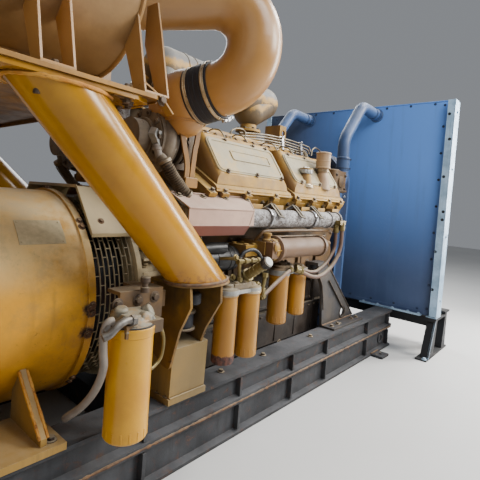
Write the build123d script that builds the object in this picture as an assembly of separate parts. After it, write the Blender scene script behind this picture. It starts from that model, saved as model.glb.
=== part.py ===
from build123d import *
import math
import os

os.makedirs("parts", exist_ok=True)

# Generating set, millimetres. +X runs from the generator to the radiator,
# +Z is up, Y = 0 is the crankshaft plane, Z = 0 is the underside of the skid.

# ---------------------------------------------------------------- driving dimensions
SET_X0 = -2050.0          # rear end of the generator and of the rails
SET_X1 = 2050.0           # front face of the radiator
RAIL_X1 = 1650.0          # front end of the skid rails
RAIL_YI, RAIL_YO = 395.0, 530.0
RAIL_TOP = 285.0
RAIL_SPLIT = 158.0        # joint line of the upper and the lower beam

SHAFT_Z = 650.0           # crankshaft and generator axis
BARREL_R = 390.0
BARREL_X0, BARREL_X1 = -1760.0, -850.0
VENT_R = 368.0
VENT_X1 = -672.0
HOUSING_R = 425.0
HOUSING_X1 = -450.0

BLOCK_X0, BLOCK_X1 = -450.0, 900.0
COVER_X = ((-335.0, 200.0), (272.0, 800.0))   # the two valve covers of a bank
MANIFOLD_Y, MANIFOLD_Z, MANIFOLD_R = 480.0, 980.0, 43.0

LEG_R = 94.0              # platform leg tube
LEG_Y = 580.0
LEG_FOOT = (-530.0, -556.0, 748.0)      # axis at the foot
LEG_HEAD = (-1117.0, -600.0, 1316.0)    # axis under the top flange
PLAT_Z0, PLAT_T = 1330.0, 12.0
PLAT_X0, PLAT_X1, PLAT_Y = -2000.0, -850.0, 690.0

CAN_Y, CAN_Z, CAN_R = 400.0, 1672.0, 250.0    # air cleaner canisters
CAN_X0, CAN_X1 = -1960.0, -880.0
DUCT_R = 101.5            # intake duct
SLEEVE_C = (-500.0, -508.0, 1457.0)
SLEEVE_A = (0.25, -0.93, 0.23)

RAD_X = 1695.0            # rear face of the radiator panel
RAD_Y = 855.0
RAD_Z0, RAD_Z1 = 290.0, 1912.0

PRIMER_FOOT = (-242.0, -560.0, 737.0)
PRIMER_A = (-0.040, -0.826, 0.564)
PRIMER_LEN = 112.0


# ---------------------------------------------------------------- helpers
def unit(v):
    n = math.sqrt(sum(c * c for c in v))
    return tuple(c / n for c in v)


def along(p, a, d):
    return tuple(p[i] + a[i] * d for i in range(3))


def box(x0, x1, y0, y1, z0, z1):
    return Pos((x0 + x1) / 2, (y0 + y1) / 2, (z0 + z1) / 2) * Box(x1 - x0, y1 - y0, z1 - z0)


def cyl(p0, p1, r):
    d = Vector(*p1) - Vector(*p0)
    return Plane(origin=p0, z_dir=d) * Cylinder(r, d.length, align=(Align.CENTER, Align.CENTER, Align.MIN))


def cone(p0, p1, r0, r1):
    d = Vector(*p1) - Vector(*p0)
    return Plane(origin=p0, z_dir=d) * Cone(r0, r1, d.length, align=(Align.CENTER, Align.CENTER, Align.MIN))


def prism_x(pts, x0, x1):
    # polygon given as (y, z), from x0 to x1
    return extrude(Plane.YZ.offset(x0) * Polygon(*pts, align=None), amount=x1 - x0, dir=(1, 0, 0))


def prism_y(pts, y0, y1):
    # polygon given as (x, z), from y0 to y1
    pl = Plane(origin=(0, y0, 0), x_dir=(1, 0, 0), z_dir=(0, -1, 0))
    return extrude(pl * Polygon(*pts, align=None), amount=y1 - y0, dir=(0, 1, 0))


def prism_z(pts, z0, z1):
    return extrude(Plane.XY.offset(z0) * Polygon(*pts, align=None), amount=z1 - z0, dir=(0, 0, 1))


def pipe(pts, radii, r):
    path = FilletPolyline(*pts, radius=radii)
    return sweep(Plane(origin=path @ 0, z_dir=path % 0) * Circle(r), path=path)


def mir(s):
    return mirror(s, Plane.XZ)


def both(s):
    # the same piece on both sides of the crankshaft plane, as two solids
    return Compound(children=[s, mir(s)])


def solids(*items):
    out = []
    for s in items:
        out.extend(s.solids())
    return Compound(children=out)


def emit(name, shape):
    found = shape.solids()
    shape = found[0] if len(found) == 1 else Compound(children=list(found))
    export_step(shape, "parts/" + name + ".step")


# ---------------------------------------------------------------- skid
# One rail: two beams, one on the other, each with flanges and a recessed web
# on its outer side, with two anchor lugs welded at floor level.
ro, ri, rw = -RAIL_YO, -RAIL_YI, -RAIL_YO + 28.0
rail = prism_x([(ri, 0), (ri, RAIL_TOP), (ro, RAIL_TOP), (ro, RAIL_TOP - 16), (rw, RAIL_TOP - 24),
                (rw, RAIL_SPLIT + 24), (ro, RAIL_SPLIT + 16), (ro, RAIL_SPLIT - 12),
                (rw, RAIL_SPLIT - 20), (rw, 22), (ro, 14), (ro, 0)], SET_X0 + 20.0, RAIL_X1)
for lx in (-1750.0, 1350.0):
    rail += box(lx - 60, lx + 60, ro - 85, ro + 2, 0, 16)
    rail -= Pos(lx, ro - 45, 8) * Cylinder(11, 40)
emit("base_rail_right", rail)
emit("base_rail_left", mir(rail))

cross = [box(x - 60, x + 60, -RAIL_YI, RAIL_YI, 20, 150) for x in (-1900.0, -540.0, 420.0, 1240.0, 1560.0)]
emit("cross_members", solids(*cross))

# ---------------------------------------------------------------- generator
barrel = cyl((BARREL_X0, 0, SHAFT_Z), (BARREL_X1, 0, SHAFT_Z), BARREL_R)
barrel += cyl((BARREL_X1 - 26, 0, SHAFT_Z), (BARREL_X1, 0, SHAFT_Z), BARREL_R + 9)
barrel += cyl((BARREL_X0, 0, SHAFT_Z), (BARREL_X0 + 26, 0, SHAFT_Z), BARREL_R + 9)
barrel += cyl((BARREL_X1 - 1, 0, SHAFT_Z), (VENT_X1, 0, SHAFT_Z), 300)
emit("generator_barrel", barrel)

end = cyl((SET_X0 + 60, 0, SHAFT_Z), (BARREL_X0, 0, SHAFT_Z), 355)
end = fillet(end.edges().filter_by(GeomType.CIRCLE).sort_by(Axis.X)[0], 45)
end += cyl((SET_X0, 0, SHAFT_Z), (SET_X0 + 70, 0, SHAFT_Z), 150)
emit("generator_end_housing", end)

gfoot = box(-1660, -1000, -540, -300, RAIL_TOP, RAIL_TOP + 22)
for gx in (-1600.0, -1330.0, -1060.0):
    gfoot += prism_x([(-520, RAIL_TOP + 20), (-300, RAIL_TOP + 20), (-300, 420), (-350, 478), (-520, 330)], gx - 9, gx + 9)
gfoot -= cyl((BARREL_X0, 0, SHAFT_Z), (BARREL_X1, 0, SHAFT_Z), BARREL_R)

tbox = box(-1900, -1380, -290, 290, 1000, 1290)
tbox = fillet(tbox.edges().filter_by(Axis.X), 12)
tbox += box(-1908, -1372, -298, 298, 1284, 1296)
tbox -= cyl((BARREL_X0 - 300, 0, SHAFT_Z), (BARREL_X1, 0, SHAFT_Z), BARREL_R + 9)
emit("terminal_box", tbox)

vent = cyl((BARREL_X1, 0, SHAFT_Z), (VENT_X1, 0, SHAFT_Z), VENT_R)
vent -= cyl((BARREL_X1 - 1, 0, SHAFT_Z), (VENT_X1 + 1, 0, SHAFT_Z), VENT_R - 7)
emit("vent_grille", vent)

# folded sheet hood over the air outlet: flat top, sloping sides, open ends
hood = prism_x([(-338, 898), (-205, 1066), (205, 1066), (338, 898), (333, 895), (202, 1060), (-202, 1060), (-333, 895)],
               -848, -668)
emit("guard_hood", hood)

# ---------------------------------------------------------------- flywheel housing
fh = cyl((VENT_X1, 0, SHAFT_Z), (HOUSING_X1, 0, SHAFT_Z), 345)
fh += cyl((VENT_X1, 0, SHAFT_Z), (VENT_X1 + 22, 0, SHAFT_Z), 392)
fh += cyl((HOUSING_X1 - 60, 0, SHAFT_Z), (HOUSING_X1, 0, SHAFT_Z), HOUSING_R)
for k in range(16):
    rib = box(VENT_X1 + 10, HOUSING_X1 - 30, -7, 7, 320, 400)
    fh += Pos(0, 0, SHAFT_Z) * Rot(22.5 * k + 11.25, 0, 0) * rib
fh -= box(-700, -400, -500, 500, 100, 262)
emit("flywheel_housing", fh)

# support beams from the flywheel housing to the rails
ef = box(-622, -432, -545, -300, RAIL_TOP, RAIL_TOP + 24)
ef += prism_x([(-540, RAIL_TOP + 20), (-300, RAIL_TOP + 20), (-300, 520), (-545, 495)], -616, -438)
ef -= cyl((VENT_X1, 0, SHAFT_Z), (HOUSING_X1 + 40, 0, SHAFT_Z), HOUSING_R + 1)
emit("machine_feet", solids(gfoot, mir(gfoot), ef, mir(ef)))

# ---------------------------------------------------------------- engine
pan = prism_x([(-225, 168), (-325, 250), (-330, 432), (330, 432), (325, 250), (225, 168)], -395, 832)
emit("oil_pan", pan)

half = [(-300, 432), (-312, 760), (-352, 905), (-386, 1000), (-86, 1168), (-60, 1118)]
block = prism_x(half + [(-y, z) for y, z in reversed(half)], BLOCK_X0, BLOCK_X1)
for bx in (-300.0, -90.0, 120.0, 330.0, 540.0, 750.0):
    block += box(bx - 12, bx + 12, -328, 328, 445, 790)
emit("engine_block", block)

head = prism_x([(-440, 1096), (-140, 1264), (-86, 1168), (-386, 1000)], -400, 860)
for cx0, cx1 in COVER_X:
    head += prism_x([(-452, 1090), (-446, 1112), (-140, 1284), (-130, 1258), (-430, 1082)], cx0 - 16, cx1 + 16)
for px in (-255.0, -80.0, 95.0, 350.0, 525.0, 700.0):
    head += box(px - 40, px + 40, -462, -380, 1008, 1046)
emit("cylinder_heads", both(head))


def cover(x0, x1):
    # deep cast cover: short vertical outer side, steep face, flat crown
    c = prism_x([(-433, 1121), (-430, 1170), (-300, 1352), (-228, 1352), (-150, 1290), (-146, 1281)], x0, x1)
    e = [k for k in c.edges() if abs(k.center().Y + 365) < 8 and abs(k.center().Z - 1261) < 8]
    c = fillet(e, 34)
    return c


covers = [cover(*c) for c in COVER_X]
# rims proud of the faces
emit("valve_covers", solids(*[s for c in covers for s in (c, mir(c))]))

man = cyl((-560, -MANIFOLD_Y, MANIFOLD_Z), (655, -MANIFOLD_Y, MANIFOLD_Z), MANIFOLD_R)
for jx in (-37.0, 364.0, 560.0):
    man += cyl((jx - 7, -MANIFOLD_Y, MANIFOLD_Z), (jx + 7, -MANIFOLD_Y, MANIFOLD_Z), MANIFOLD_R + 6)
for px in (-255.0, -80.0, 95.0, 350.0, 525.0, 640.0):
    man += cyl((px, -MANIFOLD_Y, MANIFOLD_Z), (px, -425, 1005), 26)
man -= prism_x([(-440, 1096), (-140, 1264), (-86, 1168), (-386, 1000), (-386, 900), (-300, 900)], -700, 900)
for px in (-255.0, -80.0, 95.0, 350.0, 525.0, 700.0):
    man -= box(px - 41, px + 41, -463, -380, 1007, 1047)
man = man.solids().sort_by(SortBy.VOLUME)[-1]
emit("exhaust_manifolds", both(man))

# folded heat shield over the rear half of the manifold
sh = prism_x([(-428, 1070), (-545, 1018), (-545, 950), (-500, 905), (-497, 908), (-541, 951), (-541, 1016), (-430, 1066)], -584, -112)
sh -= prism_z([(-112, -426), (-202, -546), (-232, -560), (10, -560), (10, -426)], 948, 1100)
sh -= prism_z([(-232, -560), (-232, -546), (-210, -498), (-190, -480), (10, -480), (10, -560)], 880, 949)
sh = sh.solids().sort_by(SortBy.VOLUME)[-1]
emit("heat_shields", both(sh))

# turbocharger: compressor snail, centre housing and turbine snail on one axis along X
tc = cyl((-625, -300, 1275), (-545, -300, 1275), 118)
tc += cyl((-545, -300, 1275), (-500, -300, 1275), 60)
tc += cyl((-700, -300, 1275), (-620, -300, 1275), 70)
tc += cyl((-500, -300, 1275), (-425, -300, 1275), 92)
tc += cyl((-462, -300, 1275), (-462, -300, 1165), 48)

bel = pipe([(-612, -345, 1232), (-618, -424, 1180), (-528, -440, 1074)], [40], 21)
bel -= prism_x([(-420, 1077), (-560, 1014), (-560, 900), (-420, 900)], -700, -300)
tc += bel
tc = tc.solids().sort_by(SortBy.VOLUME)[-1]
emit("turbochargers", both(tc))

after = box(-330, 640, -128, 128, 1169, 1424)
after = fillet(after.edges().filter_by(Axis.X).sort_by(Axis.Z)[-2:], 22)
after += box(-345, 655, -140, 140, 1376, 1392)
after += cyl((352, 0, 1420), (352, 0, 1482), 54)
after -= both(prism_x([(-455, 1080), (-140, 1300), (-120, 1250), (-80, 1168), (-386, 990)], -420, 880))
emit("aftercooler_housing", after)

# crossover pipe from both compressors into the aftercooler
xo = cyl((-330, 0, 1684), (475, 0, 1684), 100) + Pos(475, 0, 1684) * Sphere(100)
xo += cyl((475, 0, 1684), (352, 0, 1612), 98) + Pos(352, 0, 1612) * Sphere(98)
xo += cyl((352, 0, 1612), (352, 0, 1494), 50)
xo += Pos(-330, 0, 1684) * Sphere(100)
for s in (-1, 1):
    xo += cyl((-330, 0, 1680), (-440, s * 225, 1400), 62)
    xo += cyl((-440, s * 225, 1400), (-470, s * 262, 1352), 62)
xo += cyl((352, 0, 1482), (352, 0, 1496), 78)
xo -= box(-360, 700, -150, 150, 1200, 1424)
xo -= cyl((-700, -300, 1275), (-400, -300, 1275), 120) + cyl((-700, 300, 1275), (-400, 300, 1275), 120)
xo = xo.solids().sort_by(SortBy.VOLUME)[-1]
emit("crossover_pipe", xo)

lift = box(606, 618, -62, 62, 1424, 1570) + box(606, 676, -62, -50, 1424, 1570) + box(606, 676, 50, 62, 1424, 1570) \
    + box(606, 676, -62, 62, 1424, 1438)
lift -= Pos(645, 0, 1522) * Rot(90, 0, 0) * Cylinder(17, 300)
emit("lifting_bracket", lift)

# exhaust outlet between the turbochargers, its flange facing up
ex = cyl((-600, 0, 1275), (-600, 0, 1480), 82)
ex += cyl((-600, 0, 1480), (-600, 0, 1496), 118)
ex += cyl((-665, -235, 1275), (-665, 235, 1275), 55) + cyl((-665, 0, 1275), (-600, 0, 1300), 55)
for k in range(8):
    a = math.radians(45.0 * k + 22.5)
    ex -= Pos(-600 + 97.5 * math.cos(a), 97.5 * math.sin(a), 1488) * Cylinder(7, 40)
ex -= cyl((-600, 0, 1400), (-600, 0, 1510), 72)
ex -= both(cyl((-701, -300, 1275), (-424, -300, 1275), 71) + cyl((-626, -300, 1275), (-544, -300, 1275), 119))
ex = ex.solids().sort_by(SortBy.VOLUME)[-1]
emit("exhaust_outlet", ex)

# ---------------------------------------------------------------- intake, each side
SA = unit(SLEEVE_A)
pc = along(SLEEVE_C, SA, -98.0)
pot = Pos(*pc) * Sphere(118)
pot -= cyl(along(SLEEVE_C, SA, -53.0), along(SLEEVE_C, SA, 90.0), 180)
pot += cyl(pc, along(SLEEVE_C, SA, -4.0), DUCT_R)
pot += cyl(pc, (pc[0], pc[1], pc[2] - 92), 82)
pot += Pos(pc[0], pc[1], pc[2] - 66) * Sphere(80)
pot += cyl((pc[0] - 55, pc[1] + 30, pc[2] - 20), (-570, -330, 1390), 62)
pot -= cyl((-626, -300, 1275), (-544, -300, 1275), 119) + cyl((-701, -300, 1275), (-424, -300, 1275), 93)
pot -= cyl((-330, 0, 1680), (-440, -225, 1400), 63) + cyl((-440, -225, 1400), (-470, -262, 1352), 63)
sl = cyl(along(SLEEVE_C, SA, -52.0), along(SLEEVE_C, SA, 52.0), DUCT_R + 8)
pot -= sl - cyl(along(SLEEVE_C, SA, -60.0), along(SLEEVE_C, SA, 60.0), DUCT_R)
sl -= cyl(along(SLEEVE_C, SA, -60.0), along(SLEEVE_C, SA, 60.0), DUCT_R)
pot = pot.solids().sort_by(SortBy.VOLUME)[-1]
emit("intake_elbows", both(pot))
emit("rubber_sleeves", both(sl))

duct = pipe([along(SLEEVE_C, SA, 4.0), along(SLEEVE_C, SA, 192.0), (-452, -676, 1790), (-876, -408, 1692)],
            [150, 135], DUCT_R)
emit("intake_ducts", both(duct))

can = cyl((CAN_X0, -CAN_Y, CAN_Z), (CAN_X1 - 4, -CAN_Y, CAN_Z), CAN_R)
can = fillet(can.edges().filter_by(GeomType.CIRCLE), 26)
can += cyl((-1500, -CAN_Y, CAN_Z), (-1462, -CAN_Y, CAN_Z), CAN_R + 8)
can -= duct
can = can.solids().sort_by(SortBy.VOLUME)[-1]
emit("air_cleaners", both(can))

# bent strap brackets that hold the canisters off the platform
straps = []
for sx in (-872.0, -1158.0, -1500.0, -1850.0):
    st = box(sx - 43, sx + 43, -690, -638, PLAT_Z0 + PLAT_T, PLAT_Z0 + PLAT_T + 6)
    for lx in (sx - 43, sx + 37):
        leg_plate = prism_x([(-690, PLAT_Z0 + PLAT_T + 3), (-638, PLAT_Z0 + PLAT_T + 3), (-560, 1520), (-560, 1640), (-612, 1640), (-640, 1540)], lx, lx + 6)
        st += leg_plate
    st -= can
    st = st.solids().sort_by(SortBy.VOLUME)[-1]
    straps.append(st)
    ss = box(sx - 45, sx + 5, -430, -370, PLAT_Z0 + PLAT_T, 1460)
    ss -= can
    ss -= duct
    straps.append(ss.solids().sort_by(SortBy.VOLUME)[-1])
emit("air_cleaner_straps", solids(*[m for s in straps for m in (s, mir(s))]))

# ---------------------------------------------------------------- platform and its legs
plate = box(PLAT_X0, PLAT_X1, -PLAT_Y, PLAT_Y, PLAT_Z0, PLAT_Z0 + PLAT_T)
plate = fillet(plate.edges().filter_by(Axis.Z), 30)
emit("air_cleaner_platform", plate)

fx, fy, fz = LEG_FOOT
hx, hy, hz = LEG_HEAD
ax = unit((hx - fx, hy - fy, hz - fz))
leg = cyl(along(LEG_FOOT, ax, -260), along(LEG_HEAD, ax, 260), LEG_R)
leg = leg & box(-1700, -300, -800, -300, fz, hz)
flange = prism_z([(-1360, -682), (-930, -682), (-880, -655), (-862, -600), (-862, -540), (-885, -490), (-930, -470), (-1360, -470)],
                 hz, PLAT_Z0)
leg += flange
rear = cyl((-1880, -LEG_Y, RAIL_TOP), (-1880, -LEG_Y, PLAT_Z0), 45) + box(-1950, -1810, -650, -425, RAIL_TOP, RAIL_TOP + 14)
rear += box(-1945, -1815, -645, -515, PLAT_Z0 - 12, PLAT_Z0)
emit("platform_legs", solids(leg, mir(leg), rear, mir(rear)))

# foot bracket: head plate, back plate on the housing, two tapered gussets
lb = cyl(along(LEG_FOOT, ax, -260), along(LEG_FOOT, ax, 260), LEG_R + 5) & box(-900, -300, -800, -430, fz - 10, fz)
lb += box(-650, -440, -560, -432, fz - 10, fz)
lb += box(-650, -440, -444, -430, 470, fz - 8)
lb += prism_x([(-432, fz - 8), (-626, fz - 8), (-636, 672), (-586, 575), (-548, 434), (-538, 424), (-500, 430), (-432, 470)],
              -630, -620)
lb += prism_x([(-432, fz - 8), (-628, fz - 8), (-633, 671), (-561, 552), (-528, 462), (-518, 454), (-490, 462), (-432, 490)],
              -476, -466)
lb -= cyl((VENT_X1, 0, SHAFT_Z), (HOUSING_X1 + 20, 0, SHAFT_Z), HOUSING_R)
lb -= prism_x([(-541, RAIL_TOP + 20), (-300, RAIL_TOP + 20), (-300, 521), (-546, 496)], -617, -437)
lb = lb.solids().sort_by(SortBy.VOLUME)[-1]
emit("leg_brackets", both(lb))

# ---------------------------------------------------------------- right side equipment
oc = cyl((28, -510, 834), (440, -510, 834), 51)
oc += cyl((12, -510, 834), (30, -510, 834), 63) + cyl((426, -510, 834), (448, -510, 834), 57)
oc += cyl((-40, -510, 834), (14, -510, 834), 50) + box(-60, -10, -556, -318, 796, 872)
oc += box(340, 400, -500, -318, 804, 860)
oc -= block
oc = oc.solids().sort_by(SortBy.VOLUME)[-1]
emit("oil_cooler", oc)

fhd = cyl((-350, -550, 672), (-350, -550, 690), 52) + cyl((-217, -562, 672), (-217, -562, 690), 50)
fhd += box(-350, -217, -598, -512, 674, 688)
fhd += box(-318, -250, -540, -329, 676, 706) + box(-318, -250, -350, -329, 560, 700)


def spin_on(x, y, z0, z1, r):
    s = cyl((x, y, z0), (x, y, z1), r)
    return fillet(s.edges().filter_by(GeomType.CIRCLE).sort_by(Axis.Z)[0], 12)



ofh = cyl((148, -460, 690), (148, -460, 716), 55) + cyl((326, -460, 682), (326, -460, 716), 52)
ofh += box(148, 326, -498, -420, 694, 714) + box(170, 300, -440, -329, 694, 714) \
    + box(170, 300, -372, -329, 640, 714)
emit("filter_heads", solids(fhd, ofh))
emit("spin_on_filters", solids(spin_on(-350, -550, 382, 672, 47), spin_on(-217, -562, 386, 672, 47),
                              spin_on(148, -460, 438, 690, 51), spin_on(326, -460, 456, 682, 46)))

aux = spin_on(-850, -612, 300, 628, 68)
emit("auxiliary_filter", aux)
ab = box(-905, -770, -665, -560, 628, 668) + cyl((-850, -612, 628), (-850, -612, 640), 70)
ab += box(-872, -704, -572, -560, 640, 744) + box(-872, -704, -572, -500, 732, 744)
ab += box(-740, -684, -562, -360, 672, 728) + box(-740, -704, -568, -556, 672, 744)
ab -= cyl((-900, 0, SHAFT_Z), (HOUSING_X1, 0, SHAFT_Z), 392)
ab -= cyl((BARREL_X1 - 27, 0, SHAFT_Z), (BARREL_X1, 0, SHAFT_Z), BARREL_R + 10)
ab = ab.solids().sort_by(SortBy.VOLUME)[-1]
emit("auxiliary_filter_bracket", ab)

# starter motor between the block and the fuel filters, its nose on the flywheel housing
stm = cyl((HOUSING_X1 + 1, -392, 785), (-418, -392, 785), 46)
stm += cyl((-420, -392, 785), (-165, -392, 785), 56)
stm += cyl((-400, -392, 785), (-392, -392, 785), 58) + cyl((-190, -392, 785), (-182, -392, 785), 58)
stm += cyl((-166, -392, 785), (-150, -392, 785), 48)
emit("starter_motor", stm)

# hand primer: a barrel with a bore, and the knob on its rod
PA = unit(PRIMER_A)
pt = along(PRIMER_FOOT, PA, PRIMER_LEN)
pb = cyl(PRIMER_FOOT, pt, 21.0) + cyl(PRIMER_FOOT, along(PRIMER_FOOT, PA, 14), 27.0)
pb += cyl(along(PRIMER_FOOT, PA, 6), (PRIMER_FOOT[0] - 20, PRIMER_FOOT[1] + 5, 690), 18)
pb += cyl((PRIMER_FOOT[0] - 20, PRIMER_FOOT[1] + 5, 689), (PRIMER_FOOT[0] - 20, PRIMER_FOOT[1] + 5, 712), 22)
pb -= cyl(along(PRIMER_FOOT, PA, 30), along(pt, PA, 5), 7.3)
pb -= fhd
pb = pb.solids().sort_by(SortBy.VOLUME)[-1]
emit("primer_pump", pb)
pk = cyl(along(PRIMER_FOOT, PA, 44), along(pt, PA, 12), 7.0)
pk += cyl(along(pt, PA, 1.0), along(pt, PA, 24), 23.0) + cyl(along(pt, PA, 24), along(pt, PA, 31), 20.5)
emit("primer_plunger", pk)

# ---------------------------------------------------------------- front of the engine
fs = prism_y([(738, RAIL_TOP), (1170, RAIL_TOP), (1168, 300), (735, 705), (640, 705), (640, 640), (700, 560)], -412, -396)
fs += box(630, 760, -412, -332, 690, 706) + box(740, 1160, -500, -396, RAIL_TOP, RAIL_TOP + 12)
fs += box(636, 760, -345, -330, 600, 700)
fs -= Pos(1010, -404, 345) * Rot(90, 0, 0) * Cylinder(34, 60)
emit("front_supports", both(fs))

fc = prism_x([(-290, 440), (-300, 760), (-250, 1000), (-150, 1150), (150, 1150), (250, 1000), (300, 760), (290, 440)], BLOCK_X1, 985)
fc += cyl((985, 0, SHAFT_Z), (1090, 0, SHAFT_Z), 135) + cyl((985, 0, 1010), (1120, 0, 1010), 110)

th = box(870, 1056, -345, -190, 1160, 1306)
th = fillet(th.edges().filter_by(Axis.Z), 26)
th += box(960, 1040, -300, -215, 1000, 1166)
th -= prism_x([(-290, 440), (-300, 760), (-250, 1000), (-150, 1150), (0, 1150), (0, 440)], 880, 986)
th = th.solids().sort_by(SortBy.VOLUME)[-1]
emit("thermostat_housings", both(th))

# fan and belt guard: a box with an arched top
GX0, GX1, GW, GZ = 1184.0, 1300.0, 242.0, 1230.0
gd = box(GX0, GX1, -GW, GW, 150, GZ) + cyl((GX0, 0, GZ), (GX1, 0, GZ), GW)
emit("fan_guard", gd)
fc += cyl((1110, 0, 1010), (GX0, 0, 1010), 40) + cyl((1080, 0, SHAFT_Z), (GX0, 0, SHAFT_Z), 60)
emit("front_cover", fc)

cp = pipe([(1056, -266, 1240), (1136, -266, 1240), (1136, -258, 1550), (1390, -254, 1846), (RAD_X + 8, -250, 1838)], [56, 150, 110], 43)
cp -= box(RAD_X, RAD_X + 100, -400, -100, 1700, 2000)
cq = pipe([(1056, 266, 1240), (1136, 266, 1240), (1136, 385, 1550), (1390, 385, 1846), (RAD_X + 8, 385, 1838)], [56, 150, 110], 43)
cq -= box(RAD_X, RAD_X + 100, 250, 500, 1700, 2000)
emit("coolant_pipes", solids(cp, cq))

fl = cone((420, -398, 1160), (420, -402, 1242), 44, 29) + cyl((420, -402, 1240), (420, -403, 1268), 37)
fl -= cover(*COVER_X[1])
fl = fl.solids().sort_by(SortBy.VOLUME)[-1]
emit("oil_filler", fl)
br = cone((612, -398, 1160), (612, -400, 1268), 58, 26) + cyl((612, -400, 1262), (612, -400, 1290), 32) \
    + cyl((612, -400, 1286), (612, -400, 1382), 43)
br -= cover(*COVER_X[1])
br = br.solids().sort_by(SortBy.VOLUME)[-1]
emit("breather", br)

# ---------------------------------------------------------------- radiator
panel = box(RAD_X, RAD_X + 6, -RAD_Y + 9, RAD_Y - 9, RAD_Z0, RAD_Z1)
panel += box(RAD_X, RAD_X + 46, -RAD_Y + 9, RAD_Y - 9, RAD_Z1 - 6, RAD_Z1)
panel += box(RAD_X - 40, RAD_X + 6, -735, -250, RAD_Z0, RAD_Z0 + 6)
panel += box(RAD_X - 40, RAD_X + 6, 250, 735, RAD_Z0, RAD_Z0 + 6)
emit("radiator_panel", panel)

core = box(1790, 1990, -740, 740, 470, 1700)
emit("radiator_core", core)
tank0 = fillet(box(1770, 2010, -780, 780, 300, 470).edges().filter_by(Axis.Y), 24)
tank1 = box(1770, 2010, -780, 780, 1700, 1900)
tank1 = fillet(tank1.edges().filter_by(Axis.Y), 24)
tank1 += cyl((1890, -420, 1898), (1890, -420, 1945), 38)
emit("radiator_tanks", solids(tank0, tank1))
shr = box(RAD_X + 6, 1790, -780, 780, 470, 1700) - box(RAD_X, 1800, -760, 760, 490, 1680)
emit("radiator_shroud", shr)

sc = box(RAD_X - 52, RAD_X + 65, -RAD_Y, -RAD_Y + 8, 300, 1905)
sc += box(RAD_X - 52, RAD_X - 46, -RAD_Y, -RAD_Y + 52, 300, 1905)
sc += box(RAD_X + 57, RAD_X + 65, -RAD_Y, -782, 300, 1905)
emit("radiator_side_channels", both(sc))

# core guard in front: a frame of bars
gf = box(2012, SET_X1, -782, 782, 440, 476) + box(2012, SET_X1, -782, 782, 1694, 1730)
for k in range(13):
    y = -760 + k * (1520 / 12)
    gf += box(2026, 2038, y - 5, y + 5, 460, 1710)
emit("radiator_guard", gf)

# feet: angle legs under each side with a head plate
ft = box(RAD_X - 60, RAD_X + 70, -858, -778, 276, 290)
ft += prism_y([(RAD_X - 150, 0), (RAD_X - 96, 0), (RAD_X + 8, 280), (RAD_X - 30, 280)], -846, -790)
ft += box(RAD_X - 190, SET_X1 - 20, -850, -770, 0, 12)
ft += prism_y([(SET_X1 - 150, 8), (SET_X1 - 60, 8), (SET_X1 - 60, 292), (SET_X1 - 110, 292)], -846, -790)
ft += box(SET_X1 - 130, SET_X1 - 10, -850, -760, 286, 300)
beam = box(RAD_X + 20, RAD_X + 90, -776, 776, 206, 276)
emit("radiator_feet", solids(ft, mir(ft), beam))
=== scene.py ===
import bpy
import bmesh
import math
import random
from mathutils import Matrix, Vector


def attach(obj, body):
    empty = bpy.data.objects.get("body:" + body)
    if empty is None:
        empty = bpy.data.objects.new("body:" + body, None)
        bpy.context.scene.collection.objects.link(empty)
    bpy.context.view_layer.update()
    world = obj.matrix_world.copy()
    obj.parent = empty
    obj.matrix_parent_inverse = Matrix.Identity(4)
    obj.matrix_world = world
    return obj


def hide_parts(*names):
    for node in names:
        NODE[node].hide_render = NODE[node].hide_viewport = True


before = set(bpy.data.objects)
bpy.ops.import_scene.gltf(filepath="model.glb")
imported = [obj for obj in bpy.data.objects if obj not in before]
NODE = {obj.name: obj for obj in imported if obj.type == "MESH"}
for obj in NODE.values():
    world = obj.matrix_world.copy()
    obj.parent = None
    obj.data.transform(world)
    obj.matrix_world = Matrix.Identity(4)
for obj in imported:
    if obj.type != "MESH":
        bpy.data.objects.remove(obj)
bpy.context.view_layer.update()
random.seed(11)


# ------------------------------------------------------------ colour and node helpers
def col(r, g, b):
    out = []
    for c in (r, g, b):
        c /= 255.0
        out.append(c / 12.92 if c <= 0.04045 else ((c + 0.055) / 1.055) ** 2.4)
    return (out[0], out[1], out[2], 1.0)


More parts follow.
